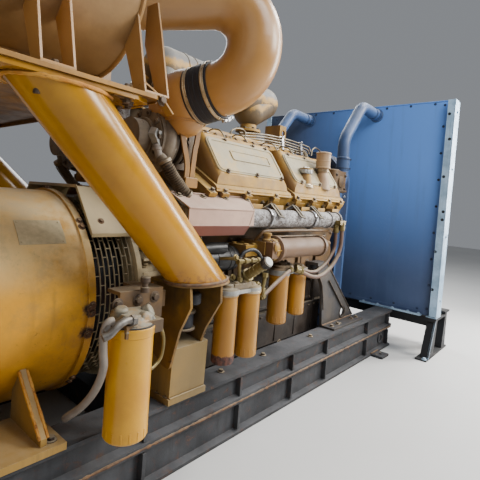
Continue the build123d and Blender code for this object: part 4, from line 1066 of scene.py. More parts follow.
# cover foot flange, side ribs and crown ribs
for x0, x1 in ((-335, 200), (272, 800)):
    for k in range(7):
        x = x0 + 30 + (x1 - x0 - 60) * k / 6
        b.box(x - 4, x + 4, -296, -232, 1349, 1357)
    b.box(x0 + 20, x1 - 20, -268, -258, 1349, 1358)
make("cover_ribs", b, gold, mirror=True, bevel=2.0)
b = B()
for x in (-438 + 60, -299, -141, 79, 283, 453, 631, 780):
    n = Vector((0, -0.488, 0.873))
    c = Vector((x, -443, 1080))
    b.obox(c, (1, 0, 0), (0, 0.873, 0.488), 46, 34, 22)
make("head_lugs", b, gold, mirror=True, bevel=3)
b = B()
for x in (-438 + 60, -299, -141, 79, 283, 453, 631, 780):
    n = Vector((0, -0.488, 0.873))
    b.bolt(Vector((x, -443, 1080)) + n * 10, n, 10, 11, 1.6, 3, ph=x)
for x in (-335, -168, 12, 235, 437, 612, 780):
    n = Vector((0, -0.873, -0.488))
    b.bolt(Vector((x, -418, 1055)) + n * 0, n, 8, 9, 1.5, 2, ph=x)
make("head_studs", b, bolt_m, mirror=True)
b = B()
# head side: a pale machined ledge under the lugs, low pads at the ports
for x0, x1 in ((-352, -328), (-270, -170), (-112, 50), (108, 206), (312, 424), (482, 602), (660, 752)):
    b.strip([(x0, -446, 1100), (x1, -446, 1100)], 12, 8, (0, -0.49, 0.87))
for x in (-255, -80, 95, 350, 525, 700):
    b.obox((x, -418, 1052), (1, 0, 0), (0, 0.873, 0.488), 96, 8, 34)
make("head_bosses", b, gold, mirror=True, bevel=2)

# filler and breather trims
b = B()
b.lathe((420, -400, 1236), (0, -0.02, 1), [(30, 0), (39, 2), (39.5, 6)] + [(39.5, 22), (36, 27), (12, 29), (0.1, 29)], 28)
for k in range(14):
    a = 2 * math.pi * k / 14
    b.obox((420 + 39 * math.cos(a), -400.5 + 39 * math.sin(a), 1251), (0, 0, 1), (math.cos(a), math.sin(a), 0), 20, 4, 6)
b.obox((420, -402, 1270), (1, 0, 0), (0, 1, 0), 52, 10, 12)
make("filler_cap", b, alloy, bevel=1.5)
b = B()
b.lathe((612, -400, 1286), (0, 0, 1), [(42, -1), (45.5, 2), (45.5, 8), (43, 10)], 36)
b.lathe((612, -400, 1374), (0, 0, 1), [(43, -2), (46, 0), (46, 6), (42, 10), (18, 14), (0.1, 14)], 36)
b.lathe((612, -400, 1330), (0, 0, 1), [(43, -3), (44.6, -1), (44.6, 2), (43, 4)], 36)
b.tube([(640, -380, 1340), (690, -350, 1345), (720, -320, 1330), (726, -300, 1250)], 11, 12, 5)
make("breather_rims", b, tan, bevel=0.8)
b = B()
b.hollow((612, -400, 1268), (0, 0, 1), 31, 36, 12, 32)
b.lathe((420, -398, 1170), (0, -0.02, 1), [(52, -10), (50, 4), (45, 8)], 28)
make("breather_clamp", b, band)
print("part a done")


# ------------------------------------------------------------ turbochargers, bellows, small castings
b = B()
# compressor snail: a swelling spiral round the wheel housing, and its outlet
rings = []
for i in range(61):
    t = i / 60.0
    a = math.radians(-60 + 330 * t)
    rr = 20 + 26 * t
    c = Vector((-585, -300 + 92 * math.cos(a), 1275 + 92 * math.sin(a)))
    d = Vector((0, math.cos(a), math.sin(a)))
    rings.append([c + d * rr * math.cos(2 * math.pi * k / 14) + Vector((1, 0, 0)) * rr * math.sin(2 * math.pi * k / 14) for k in range(14)])
b.loft(rings)
b.lathe((-626, -300, 1275), (-1, 0, 0), [(112, -2), (112, 3), (92, 8), (80, 10), (80, 20), (76, 22), (72, 22)], 48)
b.lathe((-545, -300, 1275), (1, 0, 0), [(112, -2), (112, 5), (86, 12), (72, 16), (64, 22)], 48)
b.lathe((-500, -300, 1275), (1, 0, 0), [(98, -4), (100, 0), (100, 10), (94, 14)], 48)
b.lathe((-428, -300, 1275), (1, 0, 0), [(92, -2), (88, 8), (70, 14), (68, 16), (0.1, 16)], 40)
for k in range(10):
    a = math.radians(36 * k)
    b.obox((-635, -300 + 100 * math.cos(a), 1275 + 100 * math.sin(a)), (1, 0, 0), (0, math.cos(a), math.sin(a)), 10, 22, 16)
make("turbo_snails", b, turbo_m, mirror=True, bevel=1.5)
b = B()
for k in range(10):
    a = math.radians(36 * k)
    b.bolt((-639, -300 + 100 * math.cos(a), 1275 + 100 * math.sin(a)), (-1, 0, 0), 7, 6, 0)
    b.bolt((-487, -300 + 98 * math.cos(a), 1275 + 98 * math.sin(a)), (1, 0, 0), 6, 6, 0)
b.hollow((-478, -300, 1275), (1, 0, 0), 92, 97, 12, 56)
make("turbo_bolts", b, bolt_m, mirror=True)
b = B()
path = curve([(-616, -426, 1178), (-606, -432, 1160), (-580, -434, 1129), (-549, -438, 1097), (-516, -442, 1064)], 12)
L = [0.0]
for p0, p1 in zip(path, path[1:]):
    L.append(L[-1] + (p1 - p0).length)
k = 0
for i in range(1, len(path)):
    while k * 9.0 <= L[i]:
        t = (path[i] - path[i - 1]).normalized()
        f = (k * 9.0 - L[i - 1]) / max(L[i] - L[i - 1], 1e-6)
        c = path[i - 1].lerp(path[i], f)
        b.lathe(c, t, [(20, -3.4), (24, -1.6), (25.5, 0), (24, 1.6), (20, 3.4)], 28, closed=True)
        k += 1
b.lathe(path[0], (path[0] - path[1]), [(22, -4), (28, -2), (28, 10), (22, 14)], 28)
b.lathe(path[-1], (path[-1] - path[-2]), [(22, -4), (29, -2), (29, 8), (22, 10)], 28)
make("bellows_rings", b, bellows_m, mirror=True)
b = B()
b.tube([(-640, -392, 1244), (-634, -398, 1224), (-622, -400, 1196), (-601, -400, 1179), (-578, -400, 1164)], 15, 14, 6)
for p, a in (((-638, -396, 1236), (6, 0, -24)), ((-580, -400, 1165), (20, 0, -12))):
    b.hollow(p, a, 15, 19, 10, 20)
make("turbo_drain_hose", b, hose, mirror=True)
b = B()
b.loft([[(-650, -370, 1312), (-560, -372, 1262), (-540, -378, 1228), (-560, -380, 1214), (-640, -376, 1240), (-664, -370, 1284)],
        [(-646, -402, 1306), (-566, -404, 1258), (-548, -408, 1230), (-562, -410, 1220), (-636, -406, 1244), (-656, -402, 1282)]])
b.lathe((-600, -404, 1262), (0, -1, 0), [(24, -4), (22, 6), (16, 10), (0.1, 10)], 20)
b.bolt((-636, -405, 1290), (0, -1, 0), 9, 8, 0)
b.bolt((-564, -409, 1238), (0, -1, 0), 8, 8, 0)
make("turbo_side_casting", b, alloy, mirror=True, bevel=5, seg=3)

# ------------------------------------------------------------ top of the engine
b = B()
fan = [[(150, 1440), (330, 1462), (500, 1474), (690, 1475), (880, 1467)],
       [(150, 1424), (330, 1446), (500, 1457), (690, 1456), (860, 1446)],
       [(150, 1410), (330, 1429), (500, 1440), (690, 1438), (832, 1431)],
       [(160, 1398), (340, 1414), (500, 1424), (690, 1421), (812, 1416)],
       [(170, 1388), (350, 1400), (510, 1409), (690, 1406), (790, 1402)]]
for k, pts in enumerate(fan):
    y = -112 - 3 * k
    x1, z1 = pts[-1]
    b.tube([(x, y, z) for x, z in pts] + [(x1 + 26, y, z1 - 8), (x1 + 38, y - 4, z1 - 30)], 5.0, 8, 5)
b.tube([(64, -120, 1400), (66, -120, 1424), (76, -122, 1440), (104, -124, 1454), (142, -124, 1460), (170, -124, 1456), (187, -120, 1444), (196, -116, 1410)], 5.0, 8, 5)
b.tube([(943, -110, 1411), (950, -110, 1452), (990, -112, 1474), (1060, -116, 1456), (1110, -120, 1420), (1143, -122, 1350)], 5.0, 8, 5)
# lines down to each unit between the covers
for k, x in enumerate((-290, -120, 60, 330, 500, 680)):
    b.tube([(x, -130, 1396), (x + 6, -160, 1410), (x + 18, -200, 1404), (x + 26, -226, 1372), (x + 28, -232, 1350)], 4.0, 8, 4)
make("injection_lines", b, line_m, mirror=True)
b = B()
for x, za, zb in ((560, 1396, 1488), (780, 1392, 1484)):
    b.strip([(x, -132, za), (x, -122, zb)], 18, 4, (1, 0, 0), step=3)
    b.strip([(x, -116, za), (x, -102, zb)], 18, 4, (1, 0, 0), step=3)
    b.bolt((x, -124, zb - 4), (0, -1, 0.1), 7, 7, 0)
for x in (-290, -120, 60, 330, 500, 680):
    b.lathe((x, -128, 1388), (0, 0.2, 1), [(9, 0), (9, 12), (7, 14)], 6)
    b.lathe((x + 28, -232, 1344), (0, 0, 1), [(9, 0), (9, 14), (7, 16)], 6)
make("line_clips", b, steel, mirror=True)
b = B()
for x in [-300 + 78 * k for k in range(13)]:
    b.bolt((x, -136, 1392), (0, 0, 1), 7, 7, 1.5, 1.5, ph=x)
for x in (-320, 632):
    for y in (-100, -40, 40, 100):
        for z in (1220, 1350):
            b.bolt((x - 10 if x < 0 else x + 8, y, z), (-1 if x < 0 else 1, 0, 0), 8, 7, 1.5, 1.5)
for k in range(8):
    a = math.radians(45 * k + 22)
    b.bolt((352 + 66 * math.cos(a), 66 * math.sin(a), 1496), (0, 0, 1), 8, 8, 1.5, 2)
make("aftercooler_bolts", b, bolt_m, mirror=True)
b = B()
for x in (-250, -60, 130, 320):
    b.box(x - 5, x + 5, -131, -126, 1180, 1372)
    b.box(x - 5, x + 5, -110, 110, 1420, 1428)
b.poly((150, -128, 1290), (1, 0, 0), (0, 0, 1), rounded([(-130, -60), (130, -60), (130, 60), (-130, 60)], 20), -2, 6, 2)
make("aftercooler_ribs", b, gold, mirror=True, bevel=2)
b = B()
# crossover pipe: seams and the two rubber couplings
for c, a in (((-180, 0, 1684), (1, 0, 0)),):
    _, u, v = basis(a)
    b.bead([vec(c) + (u * math.cos(2 * math.pi * i / 80) + v * math.sin(2 * math.pi * i / 80)) * 100 for i in range(80)], 2.8, 31, lump=0.3)
b.lathe((352, 0, 1496), (0, 0, 1), [(50, -1), (56, 0), (53, 6), (50, 8)], 56)
b.lathe((-240, 0, 1684), (1, 0, 0), [(99, -3), (103, -1), (103, 11), (99, 13)], 64)
make("crossover_seams", b, crosspipe, bevel=0.6)
b = B()
for s in (-1, 1):
    d = Vector((-110, s * 225, -280)).normalized()
    p = Vector((-330, 0, 1680)) + d * 150
    b.lathe(p, d, [(61, -4), (68, 0), (68, 70), (61, 74)], 48)
make("crossover_hoses", b, rubber)
b = B()
for s in (-1, 1):
    d = Vector((-110, s * 225, -280)).normalized()
    p = Vector((-330, 0, 1680)) + d * 150
    for t in (8, 52):
        b.hollow(p + d * t, d, 67.5, 70.5, 10, 48)
make("crossover_bands", b, band)
b = B()
for y in (-56, 56):
    s = 1 if y > 0 else -1
    b.hollow((645, y + s * 4, 1522), (0, s, 0), 17.5, 26, 4, 32)
b.bead([(612, -50, 1438), (612, 0, 1438), (612, 50, 1438)], 4, 33, closed=False, step=10)
b.bead([(640, -56, 1430), (676, -56, 1430)], 4, 34, closed=False)
make("lifting_bracket_rims", b, gold)
b = B()
for x in (622, 662):
    for y in (-34, 34):
        b.bolt((x, y, 1438), (0, 0, 1), 9, 8, 1.4, 2)
make("lifting_bolts", b, bolt_m)

# ------------------------------------------------------------ manifold, shield
MBX = (65, 260, 453)
b = B()
for x0, x1 in ((-30, 196), (376, 548)):
    b.lathe((x0, -480, 980), (1, 0, 0), [(43, 0), (45, 6), (44.4, (x1 - x0) / 2), (45, x1 - x0 - 6), (43, x1 - x0)], 40, closed=True)
b.lathe((655, -480, 980), (1, 0, 0), [(43, -2), (50, 0), (50, 12), (40, 16), (0.1, 16)], 36)
for x in (-255, -80, 95, 350, 525):
    b.lathe((x, -438, 998), (0, -0.9, -0.4), [(36, -8), (36, 4), (30, 8), (27, 20)], 28)
make("manifold_joints", b, iron, mirror=True)
b = B()
for x in (-37, 364):
    b.hollow((x - 5, -480, 980), (1, 0, 0), 47, 52, 10, 48)
    b.bolt((x, -531, 990), (0, -0.5, 0.8), 7, 10, 0)
    b.obox((x, -530, 984), (1, 0, 0), (0, 0, 1), 12, 24, 12)
make("manifold_clamps", b, steel, mirror=True)
b = B()
# dark support plates across the pipe, each with a slit and a turned-back wing
for x in MBX:
    top, mid, end = (x - 19, -446, 1052), (x - 52, -498, 1026), (x - 64, -538, 990)
    for dx, wide in ((0, 13), (24, 10)):
        b.strip([(x - 19 + dx, -446, 1052), (x - 50 + dx, -498, 1026), (x - 60 + dx, -538, 992)], wide, 4, (1, 0, 0))
    b.strip([(x - 30 + 24, -446, 1052), (x - 34 + 24, -456, 1046)], 36, 4, (1, 0, 0))
    b.strip([(x - 55 + 12, -532, 997), (x - 58 + 12, -540, 990)], 36, 4, (1, 0, 0))
    b.strip([(x - 12, -446, 1048), (x - 80, -445, 1020)], 22, 4, (0, -0.3, 1))
    b.bolt((x + 40, -441, 1036), (0, -0.6, 0.8), 7, 7, 0)
make("manifold_brackets", b, bracket_m, mirror=True)
b = B()
sn = Vector((0, -0.406, 0.914))
for x in (-560, -430, -294, -146):
    for f in (0.2,):
        p = Vector((x, -428 - 117 * f, 1070 - 52 * f)) + sn * 1
        b.bolt(p, sn, 9, 6, 1.7, 2, ph=x)
make("shield_bolts", b, bolt_m, mirror=True)
b = B()
b.strip([(-584, -546, 1017), (-204, -546, 1017)], 5, 5, (0, 0, 1))
b.strip([(-584, -546, 951), (-230, -546, 951)], 5, 5, (0, 0, 1))
b.strip([(-583, -428, 1070), (-583, -545, 1018), (-583, -545, 951), (-583, -500, 907)], 5, 4, (1, 0, 0))
b.strip([(-113, -428, 1070), (-203, -545, 1018), (-230, -545, 951), (-212, -500, 907)], 5, 4, (1, 0, 0))
b.strip([(-582, -430, 1071), (-114, -430, 1071)], 10, 4, (0, -0.8, 0.4))
make("shield_folds", b, shield, mirror=True, bevel=0.8)

# ------------------------------------------------------------ block side and pan
b = B()
for s in (-1, 1):
    for x in (-195, 15, 225, 435, 645):
        b.poly((x, s * 307, 520), (-s, 0, 0), (0, 0.02 * s, 1), rounded([(-78, -62), (78, -62), (78, 62), (-78, 62)], 18), -2, 9, 2)
        b.rim((x, s * 307, 520), (-s, 0, 0), (0, 0.02 * s, 1), rounded([(-78, -62), (78, -62), (78, 62), (-78, 62)], 18), rounded([(-62, -46), (62, -46), (62, 46), (-62, 46)], 14), 8, 12)
    for x in (-195, 15, 225, 435, 645):
        b.poly((x, s * 313, 700), (-s, 0, 0), (0, 0, 1), rounded([(-70, -44), (70, -44), (70, 44), (-70, 44)], 20), -4, 8, 3)
b.box(-450, 900, -334, 334, 424, 444)
make("block_side_covers", b, brown, bevel=2.5)
b = B()
for s in (-1, 1):
    for x in (-195, 15, 225, 435, 645):
        for dx in (-68, 68):
            for dz in (-52, 52):
                b.bolt((x + dx, s * 317, 520 + dz), (0, s, 0), 7, 7, 1.4, 1.5)
        b.bolt((x, s * 321, 700), (0, s, 0), 13, 9, 1.5, 2)
    for x in [-430 + 62 * k for k in range(22)]:
        b.bolt((x, s * 330, 424), (0, 0, -1), 7, 8, 1.4, 1.5)
    for x in (-360, -120, 110, 340, 570, 800):
        b.bolt((x, s * 345, 862), (0, s * 0.96, -0.25), 12, 8, 1.5, 2)
b.lathe((400, -318, 235), (0, -1, -0.2), [(24, -6), (24, 8), (16, 10), (16, 18), (0.1, 18)], 6)
make("block_bolts", b, bolt_m)
b = B()
for s in (-1, 1):
    b.tube([(-440, s * 348, 815), (860, s * 348, 815)], 16, 14, 1)
    for x in (-400, -150, 100, 350, 600, 820):
        b.lathe((x, s * 348, 815), (0, s, 0), [(22, -8), (22, 10), (18, 14), (0.1, 14)], 20)
for x in (-380, -250, -60, 140, 340, 540, 740):
    b.box(x - 5, x + 5, -331, 331, 262, 424)
make("block_gallery", b, brown, bevel=1.5)

# ------------------------------------------------------------ oil cooler, hoses, pipes
b = B()
for k in range(8):
    a = math.radians(45 * k + 12)
    b.bolt((11, -510 + 57 * math.cos(a), 834 + 57 * math.sin(a)), (-1, 0, 0), 7, 6, 0)
    b.bolt((426, -510 + 54 * math.cos(a), 834 + 54 * math.sin(a)), (-1, 0, 0), 5, 5, 0)
make("cooler_bolts", b, bolt_m)
b = B()
b.lathe((28, -510, 834), (1, 0, 0), [(54, 0), (54, 6), (51, 8)], 48)
b.lathe((422, -510, 834), (1, 0, 0), [(51, 0), (59, 3), (59, 9), (57, 11)], 48)
b.lathe((14, -510, 834), (-1, 0, 0), [(63, -2), (65, 0), (65, 6), (56, 11), (52, 13)], 48)
b.lathe((448, -510, 834), (1, 0, 0), [(54, -2), (50, 8), (28, 15), (12, 17), (12, 25), (0.1, 26)], 36)
make("cooler_flanges", b, cooler, bevel=1.0)
b = B()
for k in range(6):
    a = math.radians(60 * k)
    b.obox((-14, -510 + 50 * math.cos(a), 834 + 50 * math.sin(a)), (1, 0, 0), (0, math.cos(a), math.sin(a)), 44, 12, 6)
b.lathe((-42, -510, 834), (-1, 0, 0), [(48, -2), (44, 6), (20, 10), (0.1, 10)], 36)
b.lathe((-35, -556, 850), (0, -1, 0), [(20, -6), (20, 6), (14, 10), (0.1, 10)], 20)
b.lathe((-35, -500, 872), (0, 0, 1), [(24, -4), (24, 8), (17, 14), (17, 26), (22, 28), (22, 38), (14, 42), (0.1, 42)], 24)
b.obox((-35, -440, 840), (1, 0, 0), (0, 1, 0), 66, 150, 60)
b.box(-150, -60, -470, -340, 800, 852)
for x, y in ((-134, -455), (-78, -455), (-134, -380), (-78, -380)):
    b.lathe((x, y, 852), (0, 0, 1), [(13, -3), (13, 5), (9, 8), (0.1, 8)], 16)
b.lathe((-12, -510, 834), (1, 0, 0), [(50, -14), (53, -10), (53, 8), (50, 12)], 40)
make("cooler_end_casting", b, gold, bevel=1.2)
b = B()
b.tube([(-29, -486, 920), (120, -486, 921), (340, -486, 920), (520, -486, 918), (600, -482, 914), (628, -480, 900)], 9, 12, 5)
b.tube([(-29, -486, 920), (-52, -484, 916), (-60, -474, 896), (-60, -450, 872)], 9, 12, 5)
b.tube([(10, -470, 890), (200, -470, 888), (430, -470, 888), (560, -468, 884), (600, -462, 860)], 6, 10, 5)
make("cooler_pipes", b, pipe_brown)
b = B()
b.tube([(640, -545, 935), (644, -545, 880), (643, -545, 835), (630, -543, 792), (606, -542, 759), (572, -541, 726), (531, -540, 700), (478, -540, 678), (422, -539, 667), (364, -538, 670), (313, -536, 682), (256, -528, 704), (208, -520, 722)], 11, 14, 4)
b.tube([(617, -520, 920), (620, -520, 870), (619, -520, 834), (606, -519, 800), (580, -518, 770), (550, -516, 742), (516, -515, 721), (474, -514, 702), (430, -513, 690), (382, -512, 690), (333, -511, 699), (286, -506, 712), (238, -500, 726)], 10, 14, 4)
make("cooler_hoses", b, hose_brown)
b = B()
for p, a in (((640, -545, 930), (0.02, 0, -1)), ((617, -520, 916), (0.02, 0, -1)), ((214, -521, 719), (-1, 0.3, 0.35)), ((244, -501, 724), (-1, 0.3, 0.3))):
    b.lathe(p, a, [(16, -26), (16, -8), (17, -6), (17, 8), (15, 10)], 20)
    b.lathe(p, a, [(20, -40), (20, -26), (12, -24)], 6)
b.obox((628, -532, 968), (1, 0, 0), (0, 1, 0), 70, 50, 26)
b.tube([(628, -520, 972), (628, -480, 972), (628, -440, 960)], 17, 14, 3)
make("hose_fittings", b, olive, bevel=1.0)
b = B()
b.tube([(151, -528, 725), (90, -534, 706), (20, -538, 676), (-50, -541, 644), (-94, -543, 624)], 10, 12, 4)
b.tube([(151, -528, 725), (168, -520, 732), (190, -505, 730)], 10, 12, 4)
make("filter_tube", b, hose_brown)
b = B()
for p, a in (((-94, -543, 624), (-0.85, 0, -0.4)), ((148, -528, 724), (-0.9, 0, -0.3))):
    b.lathe(p, a, [(15, -10), (15, 8), (11, 10), (11, 18), (0.1, 18)], 6)
b.tube([(-110, -560, 727), (-113, -560, 700), (-124, -560, 660)], 9, 12, 3)
for p in ((-110, -560, 727), (-124, -560, 662)):
    b.lathe(p, (0, 0, 1), [(15, -9), (15, 9)], 6)
b.lathe((-166, -552, 690), (0.2, -1, 0), [(14, -8), (14, 14), (9, 16), (9, 24), (0.1, 24)], 6)
b.lathe((-120, -560, 648), (0, 0, -1), [(12, -4), (12, 10), (8, 14), (0.1, 14)], 12)
b.lathe((-283, -534, 706), (0, -0.2, 1), [(13, -2), (13, 12), (8, 15), (8, 20), (0.1, 20)], 6)
b.lathe((-350, -550, 690), (0, 0, 1), [(12, -2), (12, 10), (0.1, 12)], 6)
b.tube([(-298, -560, 806), (-294, -560, 764), (-288, -560, 716)], 8, 12, 1)
b.lathe((-298, -560, 800), (1, 0, 0), [(0.1, -10), (13, -10), (13, 12), (9, 14), (9, 30), (14, 32), (14, 52), (9, 54), (9, 74), (13, 76), (13, 98), (9, 100), (9, 118), (12, 120), (12, 134), (0.1, 134)], 6)
b.lathe((-289, -560, 722), (0.08, 0, 1), [(14, -8), (14, 12), (10, 14)], 6)
b.bolt((-318, -556, 818), (0, -1, 0.2), 10, 8, 1.4, 2)
b.bolt((-328, -556, 737), (0, -1, 0.2), 10, 8, 1.4, 2)
b.tube([(-310, -552, 812), (-330, -530, 812), (-340, -490, 806)], 7, 12, 4)
make("fuel_fittings", b, olive)
b = B()
b.tube([(-283, -536, 724), (-270, -545, 748), (-232, -548, 762), (-190, -546, 754), (-168, -542, 728)], 5, 10, 5)
b.tube([(-350, -550, 700), (-362, -540, 740), (-390, -480, 800), (-396, -430, 850), (-380, -400, 900)], 5.5, 10, 5)
make("fuel_lines", b, line_m)

# ------------------------------------------------------------ filters
b = B()
for x, y, z0, z1, r in ((-350, -550, 382, 672, 47), (-217, -562, 386, 672, 47), (148, -460, 438, 690, 51), (326, -460, 456, 682, 46)):
    b.lathe((x, y, z1), (0, 0, -1), [(r - 2, -2), (r + 2.2, 0), (r + 3, 3), (r + 3, 9), (r + 1.5, 12), (r - 1, 14)], 48)
    b.lathe((x, y, z0), (0, 0, -1), [(r - 16, -2), (r - 17, 3), (r - 21, 4), (0.1, 1)], 40)
    for k in range(15):
        a = 2 * math.pi * k / 15
        b.obox((x + (r - 1.5) * math.cos(a), y + (r - 1.5) * math.sin(a), z0 + 24), (0, 0, 1), (math.cos(a), math.sin(a), 0), 30, 4.5, 6)
make("filter_can_rims", b, filt, bevel=1.2)
b = B()
for x, y, z1, r in ((-350, -550, 672, 47), (-217, -562, 672, 47)):
    b.lathe((x, y, z1), (0, 0, -1), [(r + 1, -5), (r + 4, -4), (r + 4, 5), (r + 2, 7)], 48)
make("fuel_can_bands", b, band)
b = B()
# black lever that leans over the primer, and the small black hose behind it
b.tube([(-252, -520, 806), (-226, -524, 832), (-178, -528, 842), (-136, -530, 828), (-106, -532, 796)], 8.5, 12, 4)
b.lathe((-252, -520, 800), (0, 0, 1), [(13, -8), (13, 10), (9, 12)], 16)
b.lathe((-104, -532, 794), (0.5, 0, -1), [(12, -8), (12, 12), (8, 14), (0.1, 14)], 16)
make("primer_lever", b, black_shiny)
b = B()
for x, y, z1, r in ((-350, -550, 672, 47), (-217, -562, 672, 47), (148, -460, 690, 51), (326, -460, 682, 46)):
    b.lathe((x, y, z1 - 1), (0, 0, 1), [(r - 4, -3), (r + 0.6, -2), (r + 0.6, 3), (r - 4, 4)], 48)
make("filter_gaskets", b, black)
b = B()
# fuel head: two round pads, a low bridge with bosses, plugs
b.lathe((-350, -550, 688), (0, 0, 1), [(50, -2), (46, 6), (30, 10), (26, 22), (20, 25), (0.1, 25)], 36)
b.lathe((-217, -562, 688), (0, 0, 1), [(48, -2), (44, 6), (28, 10), (24, 20), (0.1, 22)], 36)
b.loft([[(-344, -584, 688), (-226, -590, 688), (-226, -524, 688), (-344, -520, 688)], [(-334, -578, 712), (-236, -582, 712), (-236, -532, 712), (-334, -530, 712)]])
for x, y in ((-312, -560), (-262, -562)):
    b.lathe((x, y, 708), (0, 0, 1), [(16, -2), (16, 8), (11, 12), (0.1, 12)], 20)
b.loft([[(-322, -530, 700), (-246, -530, 700), (-246, -335, 700), (-322, -335, 700)], [(-312, -530, 722), (-256, -530, 722), (-256, -340, 722), (-312, -340, 722)]])
make("fuel_head_casting", b, head_brown, bevel=4, seg=3)
b = B()
for x, y in ((-330, -590), (-240, -596), (-384, -520)):
    b.bolt((x, y + 30, 706), (0, 0, 1), 8, 8, 1.4, 2)
for x in (-300, -268):
    for y in (-440, -380):
        b.bolt((x, y, 722), (0, 0, 1), 8, 8, 1.5, 2)
make("fuel_head_bolts", b, bolt_m)
b = B()
b.lathe((148, -460, 712), (0, 0, 1), [(54, -4), (50, 6), (36, 12), (32, 22), (0.1, 24)], 40)
b.lathe((326, -460, 712), (0, 0, 1), [(52, -4), (47, 6), (32, 12), (28, 20), (0.1, 22)], 40)
b.loft([[(160, -492, 712), (314, -492, 712), (314, -426, 712), (160, -426, 712)], [(176, -484, 732), (298, -484, 732), (298, -436, 732), (176, -436, 732)]])
b.loft([[(180, -440, 712), (290, -440, 712), (290, -336, 712), (180, -336, 712)], [(190, -440, 740), (280, -440, 740), (280, -336, 745), (190, -336, 745)]])
make("oil_head_casting", b, brown, bevel=4, seg=3)
b = B()
for x in (200, 270):
    for y in (-412, -370):
        b.bolt((x, y, 741), (0, 0, 1), 8, 8, 1.5, 2)
b.bolt((237, -460, 732), (0, 0, 1), 12, 9, 1.5, 2)
make("oil_head_bolts", b, bolt_m)

# auxiliary filter: rim, seam, lumpy head castings, elbow, hose, thin loop
b = B()
b.lathe((-850, -612, 652), (0, 0, -1), [(64, -2), (70.5, -1), (71.5, 2), (71.5, 7), (70.5, 9), (70.5, 26), (67.5, 30)], 56)
b.lathe((-850, -612, 300), (0, 0, -1), [(52, -3), (50, 4), (46, 5), (30, 2), (0.1, 2)], 40)
for k in range(16):
    a = 2 * math.pi * k / 16
    b.obox((-850 + 66.5 * math.cos(a), -612 + 66.5 * math.sin(a), 324), (0, 0, 1), (math.cos(a), math.sin(a), 0), 30, 5, 7)
make("auxiliary_can_rim", b, filt_bright, bevel=1.2)
b = B()
b.lathe((-850, -612, 653), (0, 0, 1), [(62, 0), (69.2, 0.5), (69.2, 4), (62, 5)], 56)
make("auxiliary_gasket", b, black)
b = B()
b.lathe((-850, -612, 656), (0, 0, 1), [(66, -2), (64, 6), (54, 12), (46, 24), (30, 30), (0.1, 32)], 40)
b.loft([[(-908, -668, 644), (-776, -664, 644), (-772, -566, 644), (-908, -566, 644)], [(-896, -650, 690), (-800, -648, 684), (-792, -568, 690), (-900, -568, 696)]])
b.lathe((-826, -640, 668), (0.3, -1, 0.2), [(26, -10), (26, 10), (20, 16), (12, 18), (0.1, 18)], 24)
b.lathe((-790, -604, 676), (0.6, -0.6, 0.5), [(24, -8), (24, 14), (16, 20), (0.1, 20)], 24)
b.lathe((-884, -600, 690), (-0.2, -0.2, 1), [(22, -6), (22, 12), (15, 18), (0.1, 18)], 24)
make("auxiliary_head_casting", b, lump, bevel=5, seg=3)
b = B()
for x, z in ((-879, 712), (-805, 716), (-738, 718)):
    b.bolt((x, -571, z - 4), (0, -1, 0), 13, 10, 1.5, 3, ph=x)
b.bolt((-760, -565, 690), (0, -1, 0), 9, 8, 1.5, 2)
b.lathe((-795, -592, 748), (0, 0, 1), [(14, -8), (14, 8), (9, 10), (9, 24), (16, 26), (16, 40), (12, 44), (0.1, 45)], 20)
make("auxiliary_bolts", b, bolt_m)
b = B()
b.tube([(-892, -668, 684), (-915, -672, 688), (-941, -674, 678), (-966, -676, 660), (-986, -672, 652)], 12, 14, 5)
b.lathe((-892, -668, 684), (-1, -0.1, 0.1), [(17, -12), (17, 4), (13, 6)], 6)
b.lathe((-960, -660, 664), (-0.6, 0, -0.7), [(16, -10), (16, 8), (13, 10)], 6)
make("auxiliary_elbow", b, fit_steel)
b = B()
b.tube([(-936, -640, 684), (-950, -640, 682), (-960, -640, 668), (-964, -640, 645), (-962, -640, 600), (-957, -638, 545), (-956, -600, 470), (-960, -540, 400), (-980, -480, 345)], 12, 14, 5)
make("auxiliary_hose", b, hose)
b = B()
b.tube([(-766, -600, 650), (-748, -600, 636), (-730, -600, 618), (-720, -600, 600), (-712, -600, 575), (-711, -600, 548), (-714, -600, 525), (-720, -600, 508), (-734, -600, 494), (-764, -604, 486), (-790, -600, 520)], 7, 10, 5)
make("auxiliary_loop", b, olive)
# starter
b = B()
for x in (-380, -300, -220):
    b.hollow((x, -392, 785), (1, 0, 0), 55.5, 58.5, 8, 48)
b.lathe((-150, -392, 785), (1, 0, 0), [(46, -1), (42, 6), (14, 8), (12, 14), (0.1, 14)], 36)
b.tube([(-390, -430, 840), (-330, -432, 842), (-260, -430, 840)], 26, 20, 1)
for x, z in ((-256, 856), (-256, 826)):
    b.lathe((x, -430, z), (1, 0, 0), [(6, 0), (6, 20), (4, 21)], 12)
    b.lathe((x + 8, -430, z), (1, 0, 0), [(10, 0), (10, 6)], 6)
make("starter_fittings", b, black_shiny, bevel=1)

# hand primer: collar, hex, knob
PF, PAx = Vector((-242, -560, 737)), Vector((-0.040, -0.826, 0.564)).normalized()
b = B()
for d0, r in ((4, 29), (34, 23), (58, 22.5), (82, 22.5)):
    b.lathe(PF + PAx * d0, PAx, [(r - 2, 0), (r, 1), (r, 7), (r - 2, 8)], 32)
b.lathe(PF + PAx * 103, PAx, [(20.5, 0), (24, 1), (24, 7), (21, 8)], 32)
make("primer_rings", b, olive)
b = B()
PT = PF + PAx * 112
b.lathe(PT, PAx, [(20, 1.5), (23.6, 2.5)] + [(23.6, 22), (21, 25)] + [(12, 25)], 32)
for k in range(20):
    a = 2 * math.pi * k / 20
    _, u, v = basis(PAx)
    d = u * math.cos(a) + v * math.sin(a)
    b.obox(PT + PAx * 12.5 + d * 23.4, PAx, d, 17, 2.4, 3.0)
make("primer_knob_grip", b, black_shiny, body="plunger", bevel=0.4)
b = B()
